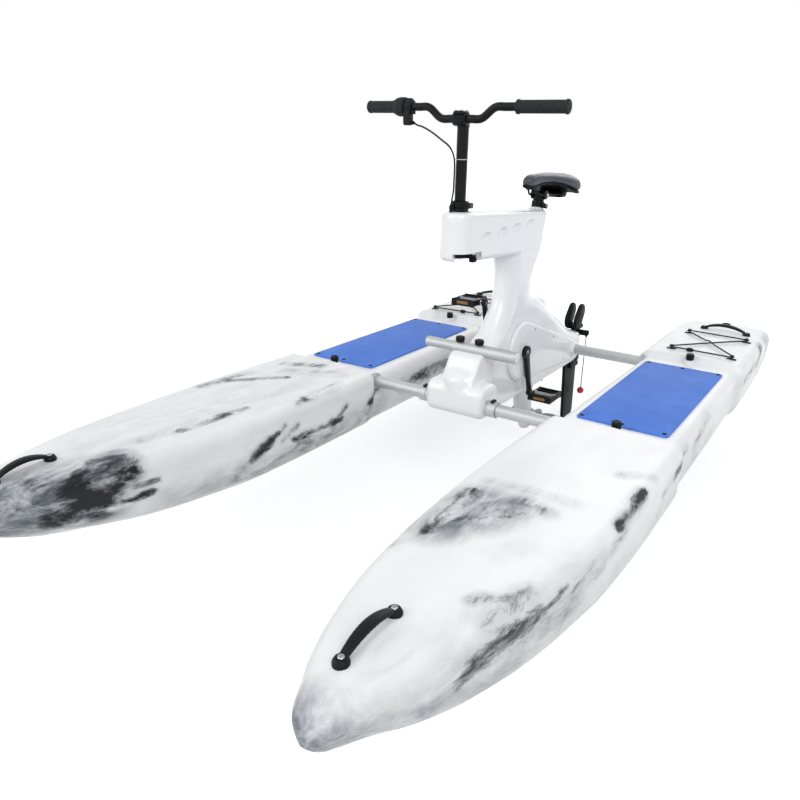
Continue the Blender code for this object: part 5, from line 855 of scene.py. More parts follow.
# A split alloy clamp holds the front tube at either end of the nose, its screw in two black lugs on
# top; plain white collars ring the rear tube.
clamp = [(0.0202, 0.1000), (0.0262, 0.1000), (0.0262, 0.1100), (0.0244, 0.1112), (0.0244, 0.1150), (0.0262, 0.1162),
         (0.0262, 0.1400), (0.0250, 0.1412), (0.0202, 0.1412), (0.0202, 0.1000)]
collar = [(0.0202, 0.0625), (0.0285, 0.0625), (0.0292, 0.0640), (0.0292, 0.0745), (0.0278, 0.0767), (0.0268, 0.0773),
          (0.0202, 0.0773), (0.0202, 0.0625)]
CLAMP_X = 0.126
for side, label in SIDES:
    piece(f"tube_clamp_{label}", lathe(clamp, (0, FRONT_TUBE_Y, TUBE_Z), (side, 0, 0), 48), brushed_tube, "boat",
          crease=40)
    middle = side * CLAMP_X
    lugs = [slab(rounded_outline((middle - 0.0060, y - 0.0042), (middle + 0.0060, y + 0.0042), 0.0020, 5),
                 TUBE_Z + 0.0225, TUBE_Z + 0.0310, edge=0.0016)
            for y in (FRONT_TUBE_Y - 0.0062, FRONT_TUBE_Y + 0.0062)]
    screw = lathe([(0.0, -0.0145), (0.0032, -0.0145), (0.0032, -0.0110), (0.0022, -0.0106), (0.0022, 0.0118),
                   (0.0, 0.0118)], (middle, FRONT_TUBE_Y, TUBE_Z + 0.0278), (0, 1, 0), 20)
    piece(f"tube_clamp_lugs_{label}", merged(*lugs, screw), moulded_black, "boat")
    piece(f"tube_collar_{label}", lathe(collar, (0, REAR_TUBE_Y, TUBE_Z), (side, 0, 0), 48), white_abs, "boat")

# ---- Drive covers
# A teardrop cover on each side hides the belt and its pulleys. It is moulded in the same white, with
# a raised lip round its front and four button-head screws.
CRANK, COVER_TAIL = (0.217, 0.466), (0.735, 0.352)
COVER_SCREWS = ((0.300, 0.528), (0.480, 0.463), (0.600, 0.345), (0.250, 0.385))
screw = [(0.0, 0.0630), (0.0044, 0.0630), (0.0044, 0.0647), (0.0034, 0.0655), (0.0016, 0.0655), (0.0015, 0.0640),
         (0.0, 0.0640)]
for side, label in SIDES:
    low, high = sorted((side * 0.0490, side * 0.0640))
    shell = slab(teardrop(CRANK, 0.104, COVER_TAIL, 0.034, 64), low, high, "X", 0.0070, 7)
    angle = radians(90) + np.linspace(radians(-8), radians(176), 50)
    spots = np.stack([np.full(50, side * 0.0612), CRANK[0] + 0.0950 * np.cos(angle),
                      CRANK[1] + 0.0950 * np.sin(angle)], -1)
    taper = np.sin(np.linspace(0.12, pi - 0.12, 50)) ** 0.35
    lip = swept(spots, 0.0052 * taper, 18, (1, 0, 0), wide=1.9)
    rim = lathe([(0.0100, 0.058), (0.0215, 0.058), (0.0215, 0.0652), (0.0200, 0.0664), (0.0115, 0.0664),
                 (0.0100, 0.0654), (0.0100, 0.058)], (0, *CRANK), (side, 0, 0))
    collar = lathe([(0.0203, 0.050), (0.0330, 0.050), (0.0310, 0.0655), (0.0290, 0.0672), (0.0215, 0.0672),
                    (0.0203, 0.0655), (0.0203, 0.050)], (0, REAR_TUBE_Y, TUBE_Z), (side, 0, 0))
    piece(f"drive_cover_shell_{label}", merged(shell, lip, rim, collar), white_abs, "boat",
          f"drive_cover_{label}", crease=50)
    heads = [lathe(screw, (0, y, z), (side, 0, 0), 20) for y, z in COVER_SCREWS]
    piece(f"cover_screws_{label}", merged(*heads), stainless, "boat")

# ---- Foot bar
# A telescoping aluminium bar across the front of the column, to rest or brace the feet on. Two black
# hand screws lock the inner tube in the sleeve, and a white plug closes the port end.
FOOT_BAR = (0, -0.052, 0.526)
sleeve = [(0.0170, -0.062), (0.0190, -0.062), (0.0200, -0.061), (0.0200, 0.1640), (0.0190, 0.1650), (0.0170, 0.1650),
          (0.0170, -0.062)]
piece("foot_bar_outer", lathe(sleeve, FOOT_BAR, (1, 0, 0), 44), brushed_tube, "boat",
      "foot_bar_sleeve")
inner = [(0.0, -0.1646), (0.0140, -0.1646), (0.0155, -0.1650), (0.0165, -0.1640), (0.0165, 0.110), (0.0, 0.110)]
piece("foot_bar_inner", lathe(inner, FOOT_BAR, (1, 0, 0), 44), brushed_tube, "foot_bar",
      "foot_bar_tube")
plug = [(0.0, 0.1560), (0.0168, 0.1560), (0.0168, 0.1652), (0.0150, 0.1660), (0.0, 0.1664)]
piece("foot_bar_plug", lathe(plug, FOOT_BAR, (1, 0, 0), 32), white_abs, "boat")


def hand_screw(centre, height, radius, stud):
    """A lobed hand screw: rings whose radius swells six times round, drawn in at both rims, with
    its threaded stud below."""
    angle = np.arange(72) * 2 * pi / 72
    lift = np.array((0.0, 0.03, 0.12, 0.30, 0.72, 0.90, 0.98, 1.0, 1.0, 0.93))
    scale = np.array((0.80, 0.90, 0.97, 1.0, 1.0, 0.96, 0.86, 0.72, 0.46, 0.42))
    radii = radius * scale[:, None] * (1 + 0.075 * np.cos(6 * angle)[None] * np.minimum(1, scale[:, None] * 1.1))
    rings = np.stack([centre[0] + radii * np.cos(angle), centre[1] + radii * np.sin(angle),
                      np.broadcast_to(centre[2] + height * lift[:, None], radii.shape)], -1)
    return merged(surface(rings), lathe([(0.0, -stud), (0.0040, -stud), (0.0040, height / 2), (0.0, height / 2)],
                                        centre, steps=16))


for label, x in (("starboard", -0.040), ("port", 0.030)):
    base = (x, FOOT_BAR[1], 0.5472)
    shape = merged(hand_screw(base, 0.0150, 0.0150, 0.0040),
                   lathe([(0.0, -0.0010), (0.0105, -0.0010), (0.0105, 0.0012), (0.0, 0.0012)], base, steps=24))
    piece(f"foot_bar_screw_{label}", shape, moulded_black, f"foot_bar_knob_{label}",
          f"foot_bar_knob_{label}", crease=50)

# ---- Deck knobs, plugs and lashing eyes
# A hand screw over each tube's socket locks the float to the tube, a screwed plug drains each float,
# and four black nylon eyes hold the bungee.
DRAIN_Y = 1.30
bead = [(0.0, -0.0125), (0.0040, -0.0125), (0.0068, -0.0095), (0.0078, 0.0), (0.0068, 0.0095), (0.0040, 0.0125),
        (0.0, 0.0125)]
for side, label in SIDES:
    middle = side * FLOAT_X
    for end, y in (("front", FRONT_TUBE_Y), ("rear", REAR_TUBE_Y)):
        knob = f"deck_knob_{end}_{label}"
        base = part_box(knob)[1].z - 0.024
        piece(f"float_screw_{end}_{label}", hand_screw((middle, y, base), 0.0225, 0.0138, base - 0.387),
              moulded_black, knob, knob, crease=50)
        seat = [(0.0, 0.380), (0.0205, 0.380), (0.0190, base - 0.0035), (0.0165, base - 0.0008), (0.0, base - 0.0008)]
        piece(f"knob_seat_{end}_{label}", lathe(seat, (middle, y, 0)), marbled_with_painted_shade, "boat")
    top = float(deck_height(0.0, DRAIN_Y))
    cap = [(0.0, top - 0.016), (0.010, top - 0.016), (0.010, top + 0.0010), (0.0170, top + 0.0010),
           (0.0172, top + 0.0040), (0.0160, top + 0.0062), (0.0120, top + 0.0068), (0.0115, top + 0.0052),
           (0.0, top + 0.0052)]
    outline = rounded_outline((middle - 0.011, DRAIN_Y - 0.0026), (middle + 0.011, DRAIN_Y + 0.0026), 0.002, 4)
    bar = slab(outline, top + 0.004, top + 0.0070, edge=0.0008)
    piece(f"drain_cap_{label}", merged(lathe(cap, (middle, DRAIN_Y, 0), steps=36), bar), moulded_black, "boat",
          f"drain_plug_{label}")
    eyes = []
    for x, y in LASHING_EYES:
        top = float(deck_height(x - FLOAT_X, y))
        eyes.append(slab(rounded_outline((side * x - 0.018, y - 0.0065), (side * x + 0.018, y + 0.0065), 0.0062, 8),
                         top - 0.004, top + 0.0032, edge=0.0016))
        hook = [(0.0, top), (0.0060, top + 0.0020), (0.0041, top + 0.0052), (0.0040, top + 0.0120),
                (0.0078, top + 0.0142), (0.0080, top + 0.0156), (0.0062, top + 0.0166), (0.0, top + 0.0168)]
        eyes.append(lathe(hook, (side * x, y, 0), steps=28))
    piece(f"bungee_eyes_{label}", merged(*eyes), moulded_black, "boat")
    piece(f"bungee_toggle_{label}", lathe(bead, tuple(toggles[side]), (1, 0, 0), 28), moulded_black, "boat")

# ---- Cranks and pedals
# Forged cranks in satin black, 170 mm long, on a steel axle. The pedals are moulded cages with a grey
# barrel round the spindle and an amber reflector front and back.
# Painted forgings have a satin sheen, the barrel is dull nylon, and the reflectors clear amber.
forged_black = finish("forged_black_painted_alloy", ("0A0B0D", "101114"), (0.28, 0.40), (2.0, 0.05),
                      Specular_IOR_Level=0.20)
barrel_grey = finish("moulded_grey_pedal_barrel", ("8C8F93", "9A9DA1"), (0.45, 0.55), (1.5, 0.05))
amber = finish("moulded_amber_reflector", ("A8772F", "94651F"), (0.14, 0.22), (2.2, 0.60), blotch=20.0,
               Transmission_Weight=0.25, IOR=1.49)
CRANK_LENGTH, CRANK_LEAN = 0.170, radians(17.0)
PEDAL_INNER, PEDAL_OUTER, PEDAL_HALF = 0.0922, 0.1798, 0.048
for side, label in SIDES:
    y = CRANK[0] + side * CRANK_LENGTH * sin(CRANK_LEAN)
    z = CRANK[1] - side * CRANK_LENGTH * cos(CRANK_LEAN)
    low, high = sorted((side * 0.0682, side * 0.0818))
    arm = slab(teardrop(CRANK, 0.0142, (y, z), 0.0102, 44), low, high, "X", 0.0045, 6)
    hub = lathe([(0.0, 0.0675), (0.0210, 0.0675), (0.0222, 0.0690), (0.0222, 0.0800), (0.0202, 0.0826),
                 (0.0118, 0.0828), (0.0115, 0.0812), (0.0, 0.0812)], (0, *CRANK), (side, 0, 0), 44)
    eye = lathe([(0.0, 0.0680), (0.0128, 0.0680), (0.0135, 0.0692), (0.0135, 0.0808), (0.0122, 0.0822),
                 (0.0, 0.0822)], (0, y, z), (side, 0, 0), 36)
    piece(f"crank_forging_{label}", merged(arm, hub, eye), forged_black, "crank",
          f"crank_arm_{label}", crease=40)
    spindle = lathe([(0.0, 0.0670), (0.0042, 0.0670), (0.0048, 0.0835), (0.0078, 0.0838), (0.0080, 0.0888),
                     (0.0050, 0.0896), (0.0050, 0.1700), (0.0, 0.1740)], (0, y, z), (side, 0, 0), 28)
    bolt = lathe([(0.0, 0.0800), (0.0070, 0.0800), (0.0070, 0.0824), (0.0062, 0.0830), (0.0036, 0.0830),
                  (0.0034, 0.0810), (0.0, 0.0810)], (0, *CRANK), (side, 0, 0), 24)
    piece(f"crank_metal_{label}", merged(spindle, bolt), stainless, "crank")
    # The cage: a wall in front and behind, a plate at each end, two cross bars and rows of grip teeth.
    body = f"pedal_{label}"
    low, high = sorted((side * PEDAL_INNER, side * PEDAL_OUTER))
    cage = []
    for sign in (-1, 1):
        v = y + sign * PEDAL_HALF
        wall = rounded_outline((low, v - 0.0055), (high, v + 0.0055), 0.0050, 6)
        wall[:, 1] = np.clip(wall[:, 1], y - PEDAL_HALF, y + PEDAL_HALF)
        cage.append(slab(wall, z - 0.0118, z + 0.0118, edge=0.0018))
    for x in (PEDAL_INNER + 0.0050, PEDAL_OUTER - 0.0050):
        a, b = sorted((side * (x - 0.0048), side * (x + 0.0048)))
        plate = rounded_outline((a, y - PEDAL_HALF + 0.002), (b, y + PEDAL_HALF - 0.002), 0.003, 4)
        cage.append(slab(plate, z - 0.0100, z + 0.0100, edge=0.0018))
    for v in (-0.0250, 0.0250):
        bar = rounded_outline((low + 0.006, y + v - 0.0022), (high - 0.006, y + v + 0.0022), 0.0015, 4)
        cage.append(slab(bar, z - 0.0080, z + 0.0080, edge=0.0012))
    for sign in (-1, 1):
        v = y + sign * (PEDAL_HALF - 0.0050)
        for x in np.linspace(low + 0.012, high - 0.012, 8):
            tooth = rounded_outline((x - 0.0022, v - 0.0030), (x + 0.0022, v + 0.0030), 0.0012, 3)
            cage.append(slab(tooth, z - 0.0122, z + 0.0122, edge=0.0010, steps=3))
    piece(f"pedal_cage_{label}", merged(*cage), moulded_black, body, body, crease=40)
    barrel = [(0.0052, 0.0924), (0.0120, 0.0924), (0.0130, 0.0936), (0.0130, 0.1010), (0.0096, 0.1060),
              (0.0096, 0.1640), (0.0120, 0.1700), (0.0120, 0.1768), (0.0100, 0.1782), (0.0, 0.1784)]
    piece(f"pedal_barrel_{label}", lathe(barrel, (0, y, z), (side, 0, 0), 36), barrel_grey, body)
    lights, frames = [], []
    for sign in (-1, 1):
        pane = rounded_outline((low + 0.022, z - 0.0052), (high - 0.022, z + 0.0052), 0.0015, 4)
        depth = sorted((y + sign * (PEDAL_HALF - 0.003), y + sign * (PEDAL_HALF + 0.0008)))
        lights.append(slab(pane, *depth, "Y", 0.0007, 3))
        rim = rounded_outline((low + 0.0180, z - 0.0090), (high - 0.0180, z + 0.0090), 0.002, 4)
        depth = sorted((y + sign * (PEDAL_HALF - 0.004), y + sign * (PEDAL_HALF + 0.0004)))
        frames.append(slab(rim, *depth, "Y", 0.0005, 3))
    piece(f"pedal_reflectors_{label}", merged(*lights), amber, body, crease=50)
    piece(f"reflector_frames_{label}", merged(*frames), moulded_black, body)

# ---- Drive inside the housing
# The belt, pulleys, shafts and bevel gears keep their CAD shapes; only their finishes are added:
# cut steel, sand-cast alloy and ribbed belt rubber.
cut_steel = finish("machined_steel", ("A9ACAF", "B9BBBE"), (0.24, 0.36), (0.8, 0.03), metallic=1.0)
cast_alloy = finish("painted_grey_alloy_casting", ("9DA1A6", "8E9398"), (0.42, 0.56), (1.6, 0.16))
white_casting = finish("white_powder_coated_casting", ("EEF0F1", "E6E8EA"), (0.36, 0.50), (1.6, 0.12))
belt_rubber = finish("ribbed_belt_rubber", ("191A1B", "242526"), (0.65, 0.8), (1.2, 0.2))
for material, names in (
    (cut_steel, ("crank_axle", "jackshaft", "upper_bevel_wheel", "upper_bevel_pinion", "leg_shaft",
                 "lower_bevel_wheel", "lower_bevel_pinion")),
    (cast_alloy, ("crank_pulley", "gear_bracket")),
    (belt_rubber, ("drive_belt",)),
):
    for name in names:
        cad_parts[name].data.materials.clear()
        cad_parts[name].data.materials.append(material)

# ---- Drive leg and propeller
# A cast alloy leg with a round gear pod, coated white, hangs under the housing on a screwed flange.
# Its two-bladed propeller is cast in grey alloy and held by a cone nut.
# The leg's levels: z, front y, rear y and half thickness.
LEG_LINES = np.array(((0.118, 0.392, 0.468, 0.010), (0.150, 0.366, 0.466, 0.015), (0.190, 0.334, 0.462, 0.016),
                      (0.230, 0.312, 0.460, 0.016), (0.270, 0.304, 0.466, 0.017), (0.2885, 0.300, 0.478, 0.020)))
PROPELLER = (0, 0.526, 0.118)
z = np.linspace(0.118, 0.2885, 48)
front, rear, half = (faired(LEG_LINES, k, z)[:, None] for k in (1, 2, 3))
a = (np.arange(64) * 2 * pi / 64)[None]
rings = np.stack([half * np.sin(a) * (1 + 0.25 * np.cos(a)), (front + rear) / 2 - 0.5 * (rear - front) * np.cos(a),
                  np.broadcast_to(z[:, None], (48, 64))], -1)
share = np.linspace(0, 1, 14)
pod = [*zip(0.024 * np.sqrt(1 - (1 - share) ** 2), 0.386 + 0.034 * share), (0.024, 0.468), (0.0230, 0.480),
       (0.0205, 0.492), (0.0165, 0.5015), (0.0, 0.5015)]
flange = slab(rounded_outline((-0.036, 0.286), (0.036, 0.492), 0.012, 7), 0.2855, 0.2915, edge=0.0012)
ridge = slab(rounded_outline((-0.0265, 0.293), (0.0265, 0.486), 0.012, 7), 0.2800, 0.2865, edge=0.003)
piece("drive_leg_casting", merged(surface(rings), lathe(pod, (0, 0, PROPELLER[2]), (0, 1, 0), 48), flange, ridge),
      white_casting, "boat", "drive_leg", crease=40)
head = [(0.0, 0.2796), (0.0042, 0.2796), (0.0050, 0.2806), (0.0050, 0.2860), (0.0, 0.2860)]
heads = [lathe(head, (x, y, 0), steps=20) for x in (-0.0305, 0.0305) for y in (0.300, 0.389, 0.478)]
piece("drive_leg_screws", merged(*heads), stainless, "boat")
blades = []
for side in (1, -1):
    share = np.linspace(0.08, 1.0, 30)[:, None]
    radius = share * 0.110
    chord = np.where(share < 0.9, 0.030 + 0.020 * np.sin(pi * np.minimum(1, share * 1.05)),
                     0.034 * (1.14 - share) / 0.24)
    chord = np.maximum(chord * np.sqrt(np.clip((1.004 - share) / 0.08, 0.02, 1)), 0.006)
    thick = 0.0046 * (1 - 0.72 * share)
    rake = np.arctan2(0.26, 2 * pi * np.maximum(radius, 0.016))
    a = (np.arange(32) * 2 * pi / 32)[None]
    u = 0.5 * chord * np.cos(a)
    w = thick * np.sin(a) + 0.0022 * (1 - (2 * u / chord) ** 2)
    blades.append(surface(np.stack([
        np.broadcast_to(side * radius, u.shape), PROPELLER[1] - u * np.sin(rake) - w * np.cos(rake),
        PROPELLER[2] + side * (u * np.cos(rake) - w * np.sin(rake))], -1)))
hub = lathe([(0.0, -0.0220), (0.0135, -0.0220), (0.0150, -0.0205), (0.0150, 0.0205), (0.0138, 0.0220), (0.0, 0.0220)],
            PROPELLER, (0, 1, 0), 44)
piece("propeller_casting", merged(hub, *blades), cast_alloy, "screw", "propeller", crease=50)
nut = lathe([(0.0, 0.0225), (0.0135, 0.0225), (0.0132, 0.0300), (0.0118, 0.0350), (0.0085, 0.0410), (0.0040, 0.0440),
             (0.0, 0.0450)], PROPELLER, (0, 1, 0), 40)
shaft = lathe([(0.0, -0.0840), (0.0050, -0.0840), (0.0050, 0.0230), (0.0, 0.0230)], PROPELLER, (0, 1, 0), 20)
piece("propeller_nut", merged(nut, shaft), stainless, "screw", "propeller_shaft", crease=40)

# ---- Rudder
# One black nylon moulding holds the stock, the fork for the blade, two rounded cheeks and the arm
# whose line lifts the blade. The blade is a flat fin that kicks up about a steel bolt.
RUDDER_Y, RUDDER_PIVOT = 0.845, (0.880, 0.262)
# Glass-filled nylon: near black, with a dry, slightly mottled sheen.
glass_nylon = finish("glass_filled_black_nylon", ("121316", "1C1D21"), (0.38, 0.54), (1.1, 0.10), blotch=30.0,
                     Specular_IOR_Level=0.07)
stock = lathe([(0.0, 0.2700), (0.0100, 0.2700), (0.0100, 0.4150), (0.0, 0.4150)], (0, RUDDER_Y, 0))
fork = [slab(rounded_outline((0.815, 0.236), (0.898, 0.2865), 0.008, 7), *sorted((side * 0.0072, side * 0.0180)), "X",
             0.0025) for side in (1, -1)]
bridge = slab(rounded_outline((0.816, 0.2787), (0.897, 0.2864), 0.003, 4), -0.0175, 0.0175, "X", 0.0015)
yoke = slab(rounded_outline((0.831, 0.4065), (0.891, 0.424), 0.005, 6), -0.026, 0.026, "X", 0.0035)
cheeks = []
for x in (-0.020, 0.020):
    cheek = teardrop((0.861, 0.4795), 0.0340, (0.838, 0.446), 0.0380, 56)
    raised = teardrop((0.861, 0.4795), 0.0240, (0.841, 0.449), 0.0260, 44)
    cheeks.append(slab(cheek, x - 0.0066, x + 0.0066, "X", 0.0045, 7))
    cheeks.append(slab(raised, x - 0.0074, x + 0.0074, "X", 0.0010, 3))
arm = slab(rounded_outline((-0.012, 0.374), (0.054, 0.396), 0.0060, 7), 0.878, 0.897, "Y", 0.0040)
lug = slab(rounded_outline((-0.013, 0.380), (0.013, 0.420), 0.004, 5), 0.881, 0.8945, "Y", 0.0025)
ferrule = lathe([(0.0, 0.3740), (0.0046, 0.3740), (0.0046, 0.3700), (0.0030, 0.3685), (0.0, 0.3685)],
                (*UPHAUL_TOP[:2], 0), steps=24)
piece("rudder_moulding", merged(stock, *fork, bridge, yoke, *cheeks, arm, lug, ferrule), glass_nylon, "rudder",
      "rudder_head", crease=40)
pivot_bolt = lathe([(0.0, -0.0220), (0.0058, -0.0220), (0.0065, -0.0212), (0.0065, -0.0178), (0.0040, -0.0178),
                    (0.0040, 0.0178), (0.0065, 0.0178), (0.0065, 0.0212), (0.0058, 0.0220), (0.0, 0.0220)],
                   (0, *RUDDER_PIVOT), (1, 0, 0), 24)
arm_bolt = lathe([(0.0, 0.3950), (0.0052, 0.3950), (0.0052, 0.3984), (0.0044, 0.3992), (0.0022, 0.3994),
                  (0.0, 0.3980)], (UPHAUL_TOP[0] - 0.001, 0.8875, 0), steps=24)
piece("rudder_bolts", merged(pivot_bolt, arm_bolt), stainless, "rudder", crease=40)
corners = np.array(((0.776, 0.2600), (0.807, 0.0), (0.923, 0.0), (0.908, 0.215), (0.893, 0.262), (0.880, 0.2752),
                    (0.782, 0.2700)))
bends = np.array((0.008, 0.030, 0.022, 0.030, 0.004, 0.004, 0.005))
outline = fillet_arc(corners, np.roll(corners, 1, 0), np.roll(corners, -1, 0), bends, 9).reshape(-1, 2)
blade = slab(outline, -0.0065, 0.0065, "X", 0.0050, 8)
blade[0][:, 0] *= 1 - 0.60 * smoothed((blade[0][:, 1] - 0.868) / 0.050) * smoothed((0.225 - blade[0][:, 2]) / 0.03)
piece("rudder_fin", blade, glass_nylon, "blade", "rudder_blade", crease=40)

# ---- Steering
# A black steel post stands in the steerer tube, held by a quick-release collar. Its welded clamp grips
# a low-rise bar with rubber grips and a twist shifter, and an arm under the head works the rudder.
BAR_Y, BAR_Z, BAR_RISE = -0.1775, 1.219, 0.031
# Powder coat on steel: deep black with a faint orange peel and a soft highlight. The grips' rubber
# is duller, and has hardly any highlight.
powder_black = finish("powder_coated_black_steel", ("090A0C", "0F1013"), (0.28, 0.40), (1.8, 0.06),
                      Specular_IOR_Level=0.15)
grip_rubber = finish("moulded_black_grip_rubber", ("111214", "1A1B1D"), (0.62, 0.78), (0.8, 0.10), blotch=24.0,
                     Specular_IOR_Level=0.34)
tube = [(0.0170, 0.8360), (0.0192, 0.8360), (0.0200, 0.8368), (0.0200, 0.9900), (0.0170, 0.9900), (0.0170, 0.8360)]
piece("steerer_sleeve", lathe(tube, (0, STEER_Y, 0)), powder_black, "steering", "steerer")
post = lathe([(0.0140, 0.9000), (0.0165, 0.9000), (0.0165, 1.1940), (0.0178, 1.2000), (0.0182, 1.2080),
              (0.0140, 1.2080), (0.0140, 0.9000)], (0, STEER_Y, 0), steps=48)
clamp = lathe([(0.0, -0.0210), (0.0165, -0.0210), (0.0184, -0.0198), (0.0192, -0.0178), (0.0192, 0.0178),
               (0.0184, 0.0198), (0.0165, 0.0210), (0.0, 0.0210)], (0, BAR_Y, BAR_Z), (1, 0, 0), 48)
flange = slab(rounded_outline((-0.0172, BAR_Y - 0.0205), (0.0172, BAR_Y + 0.0205), 0.005, 6), BAR_Z + 0.0010,
              BAR_Z + 0.0080, edge=0.0020)
cap = slab(rounded_outline((-0.0165, BAR_Y - 0.0195), (0.0165, BAR_Y + 0.0195), 0.006, 7), BAR_Z + 0.0092,
           BAR_Z + 0.0212, edge=0.0055, steps=7)
piece("post_tube", merged(post, clamp, flange, cap), powder_black, "steering", "handlepost", crease=40)
bolt = [(0.0, 1.2370), (0.0034, 1.2370), (0.0034, 1.2416), (0.0028, 1.2424), (0.0016, 1.2424), (0.0016, 1.2400),
        (0.0, 1.2400)]
bolts = [lathe(bolt, (x, BAR_Y + y, 0), steps=20) for x in (-0.0105, 0.0105) for y in (-0.0125, 0.0125)]
piece("clamp_bolts", merged(*bolts), stainless, "steering")
bend = np.array(((0.0, 0.0), (0.032, 0.0), (0.066, 0.002), (0.104, BAR_RISE - 0.002), (0.140, BAR_RISE),
                 (0.200, BAR_RISE), (0.3125, BAR_RISE)))
bend = np.concatenate([bend[:0:-1] * (-1, 1), bend])
bar_path = eased(np.stack([bend[:, 0], np.full(13, BAR_Y), BAR_Z + bend[:, 1]], -1), 120)
piece("handlebar_tube", swept(bar_path, 0.0111, 30, (0, 1, 0)), powder_black, "steering", "handlebar")


def grip_skin(start, end, radius, flange, ribs, side):
    """A grip as a function of place along the bar and angle: a sleeve with a raised flange at both
    ends and a rounded tip, crossed by shallow diamond ribs (cosine along times cosine round)."""
    x = np.linspace(start, end, 190)[:, None]
    a = (np.arange(112) * 2 * pi / 112)[None]
    lip = (1 - smoothed((x - start - 0.0050) / 0.0022)) + smoothed((x - end + 0.0090) / 0.0022)
    field = smoothed((x - start - 0.0095) / 0.004) * smoothed((end - 0.0120 - x) / 0.004)
    tip = np.clip((x - end + 0.0040) / 0.0040, 0, 1)
    foot = np.clip((start + 0.0012 - x) / 0.0012, 0, 1)
    reach = radius + flange * lip + ribs * field * np.cos(28 * a) * np.cos(2 * pi * (x - start) / 0.0056)
    reach = reach - 0.0040 * (1 - np.sqrt(1 - 0.98 * tip ** 2)) - 0.0010 * foot
    return surface(np.stack([np.broadcast_to(side * x, reach.shape), BAR_Y + reach * np.cos(a),
                             BAR_Z + BAR_RISE + reach * np.sin(a)], -1))


piece("grip_sleeve_port", grip_skin(0.1700, 0.3155, 0.0166, 0.0022, 0.00035, 1), grip_rubber, "steering",
      "grip_port", crease=50)
piece("grip_sleeve_starboard", grip_skin(0.2220, 0.3155, 0.0166, 0.0010, 0.00030, -1), grip_rubber, "steering",
      "grip_starboard", crease=50)
x = np.linspace(0.1832, 0.2205, 72)[:, None]
a = (np.arange(144) * 2 * pi / 144)[None]
# The ring's outline: place along the bar and radius.
TWIST_LINES = np.array(((0.1832, 0.0238), (0.1850, 0.0256), (0.1900, 0.0264), (0.2000, 0.0264), (0.2090, 0.0250),
                        (0.2150, 0.0226), (0.2190, 0.0206), (0.2205, 0.0190)))
ribbed = smoothed((x - 0.1870) / 0.003) * smoothed((0.2130 - x) / 0.005)
reach = faired(TWIST_LINES, 1, x[:, 0])[:, None] - 0.0012 * ribbed * np.clip(np.cos(18 * a) - 0.1, 0, 1)
ring = np.stack([np.broadcast_to(-x, reach.shape), BAR_Y + reach * np.cos(a),
                 BAR_Z + BAR_RISE + reach * np.sin(a)], -1)
piece("shifter_twist", surface(ring), grip_rubber, "shifter_ring", "shifter_ring", crease=50)
drum = lathe([(0.0, -0.1827), (0.0200, -0.1827), (0.0212, -0.1812), (0.0212, -0.1640), (0.0190, -0.1605),
              (0.0150, -0.1589), (0.0, -0.1589)], (0, BAR_Y, BAR_Z + BAR_RISE), (1, 0, 0), 48)
outlet = slab(rounded_outline((BAR_Y - 0.0215, 1.2000), (BAR_Y + 0.0045, 1.2440), 0.0070, 8), -0.1820, -0.1600, "X",
              0.0050, 7)
window = slab(rounded_outline((-0.1815, BAR_Y - 0.0085), (-0.1630, BAR_Y + 0.0085), 0.004, 6), 1.2660, 1.2735,
              edge=0.0035)
nozzle = lathe([(0.0, -0.0040), (0.0062, -0.0040), (0.0060, 0.0000), (0.0046, 0.0016), (0.0046, 0.0058),
                (0.0036, 0.0072), (0.0, 0.0072)], (-0.1622, -0.1757, 1.2078), (0.975, -0.09, -0.20), 28)
tab = slab(rounded_outline((-0.1625, 1.2300), (-0.1465, 1.2390), 0.003, 5), -0.1900, -0.1830, "Y", 0.0015)
piece("shifter_case", merged(drum, outlet, window, nozzle, tab), moulded_black, "steering",
      "shifter_body", crease=40)
# The cable tie is natural nylon, a thin pale band round the post and the cable.
natural_nylon = finish("natural_nylon_tie", ("C9CBC8", "B9BBB8"), (0.4, 0.5), (1.0, 0.02))
TIE_Z = 1.112
angle = np.arange(48) * 2 * pi / 48
loop = np.stack([0.0174 * np.cos(angle), STEER_Y + 0.0174 * np.sin(angle), np.full(48, TIE_Z)], -1)
pull = np.array((-0.0120, -0.1862)) - (0.0, STEER_Y)
near = 1 - np.linalg.norm(loop[:, :2] - (-0.0085, STEER_Y - 0.0150), axis=1, keepdims=True) / 0.016
loop[:, :2] += np.clip(near, 0, 1) ** 0.8 * pull / np.linalg.norm(pull) * 0.0085
piece("cable_tie", swept(loop, 0.0012, 10, closed=True, wide=0.5), natural_nylon, "steering")


def collar_shape(centre_y, low, high, bore):
    """A split clamp: two rings with a groove between them, turned about the tube, and two ears
    behind with a 2.4 mm slot."""
    middle = (low + high) / 2
    rim = bore + 0.0056
    step = low + 0.36 * (high - low)
    ring = lathe([(bore, low), (rim - 0.0010, low), (rim, low + 0.0010), (rim, step - 0.0010), (rim - 0.0020, step),
                  (rim - 0.0020, step + 0.0015), (rim + 0.0004, step + 0.0025), (rim + 0.0004, high - 0.0012),
                  (rim - 0.0008, high), (bore, high), (bore, low)], (0, centre_y, 0), steps=56)
    start = centre_y + bore + 0.003
    ears = []
    for inner, outer in ((0.0012, 0.0100), (-0.0100, -0.0012)):
        ears.append(slab(rounded_outline((inner, start), (outer, start + 0.017), 0.003, 5), low + 0.003, high - 0.003,
                         edge=0.0018))
    return merged(ring, *ears), (start + 0.010, middle)


def skewer_shape(y, z):
    """The clamp's cross bolt: a nut at its starboard end, a rod and a washer under the cam."""
    return lathe([(0.0, -0.0165), (0.0046, -0.0165), (0.0060, -0.0155), (0.0060, -0.0098), (0.0026, -0.0098),
                  (0.0026, 0.0098), (0.0055, 0.0098), (0.0055, 0.0109), (0.0, 0.0109)], (0, y, z), (1, 0, 0), 28)


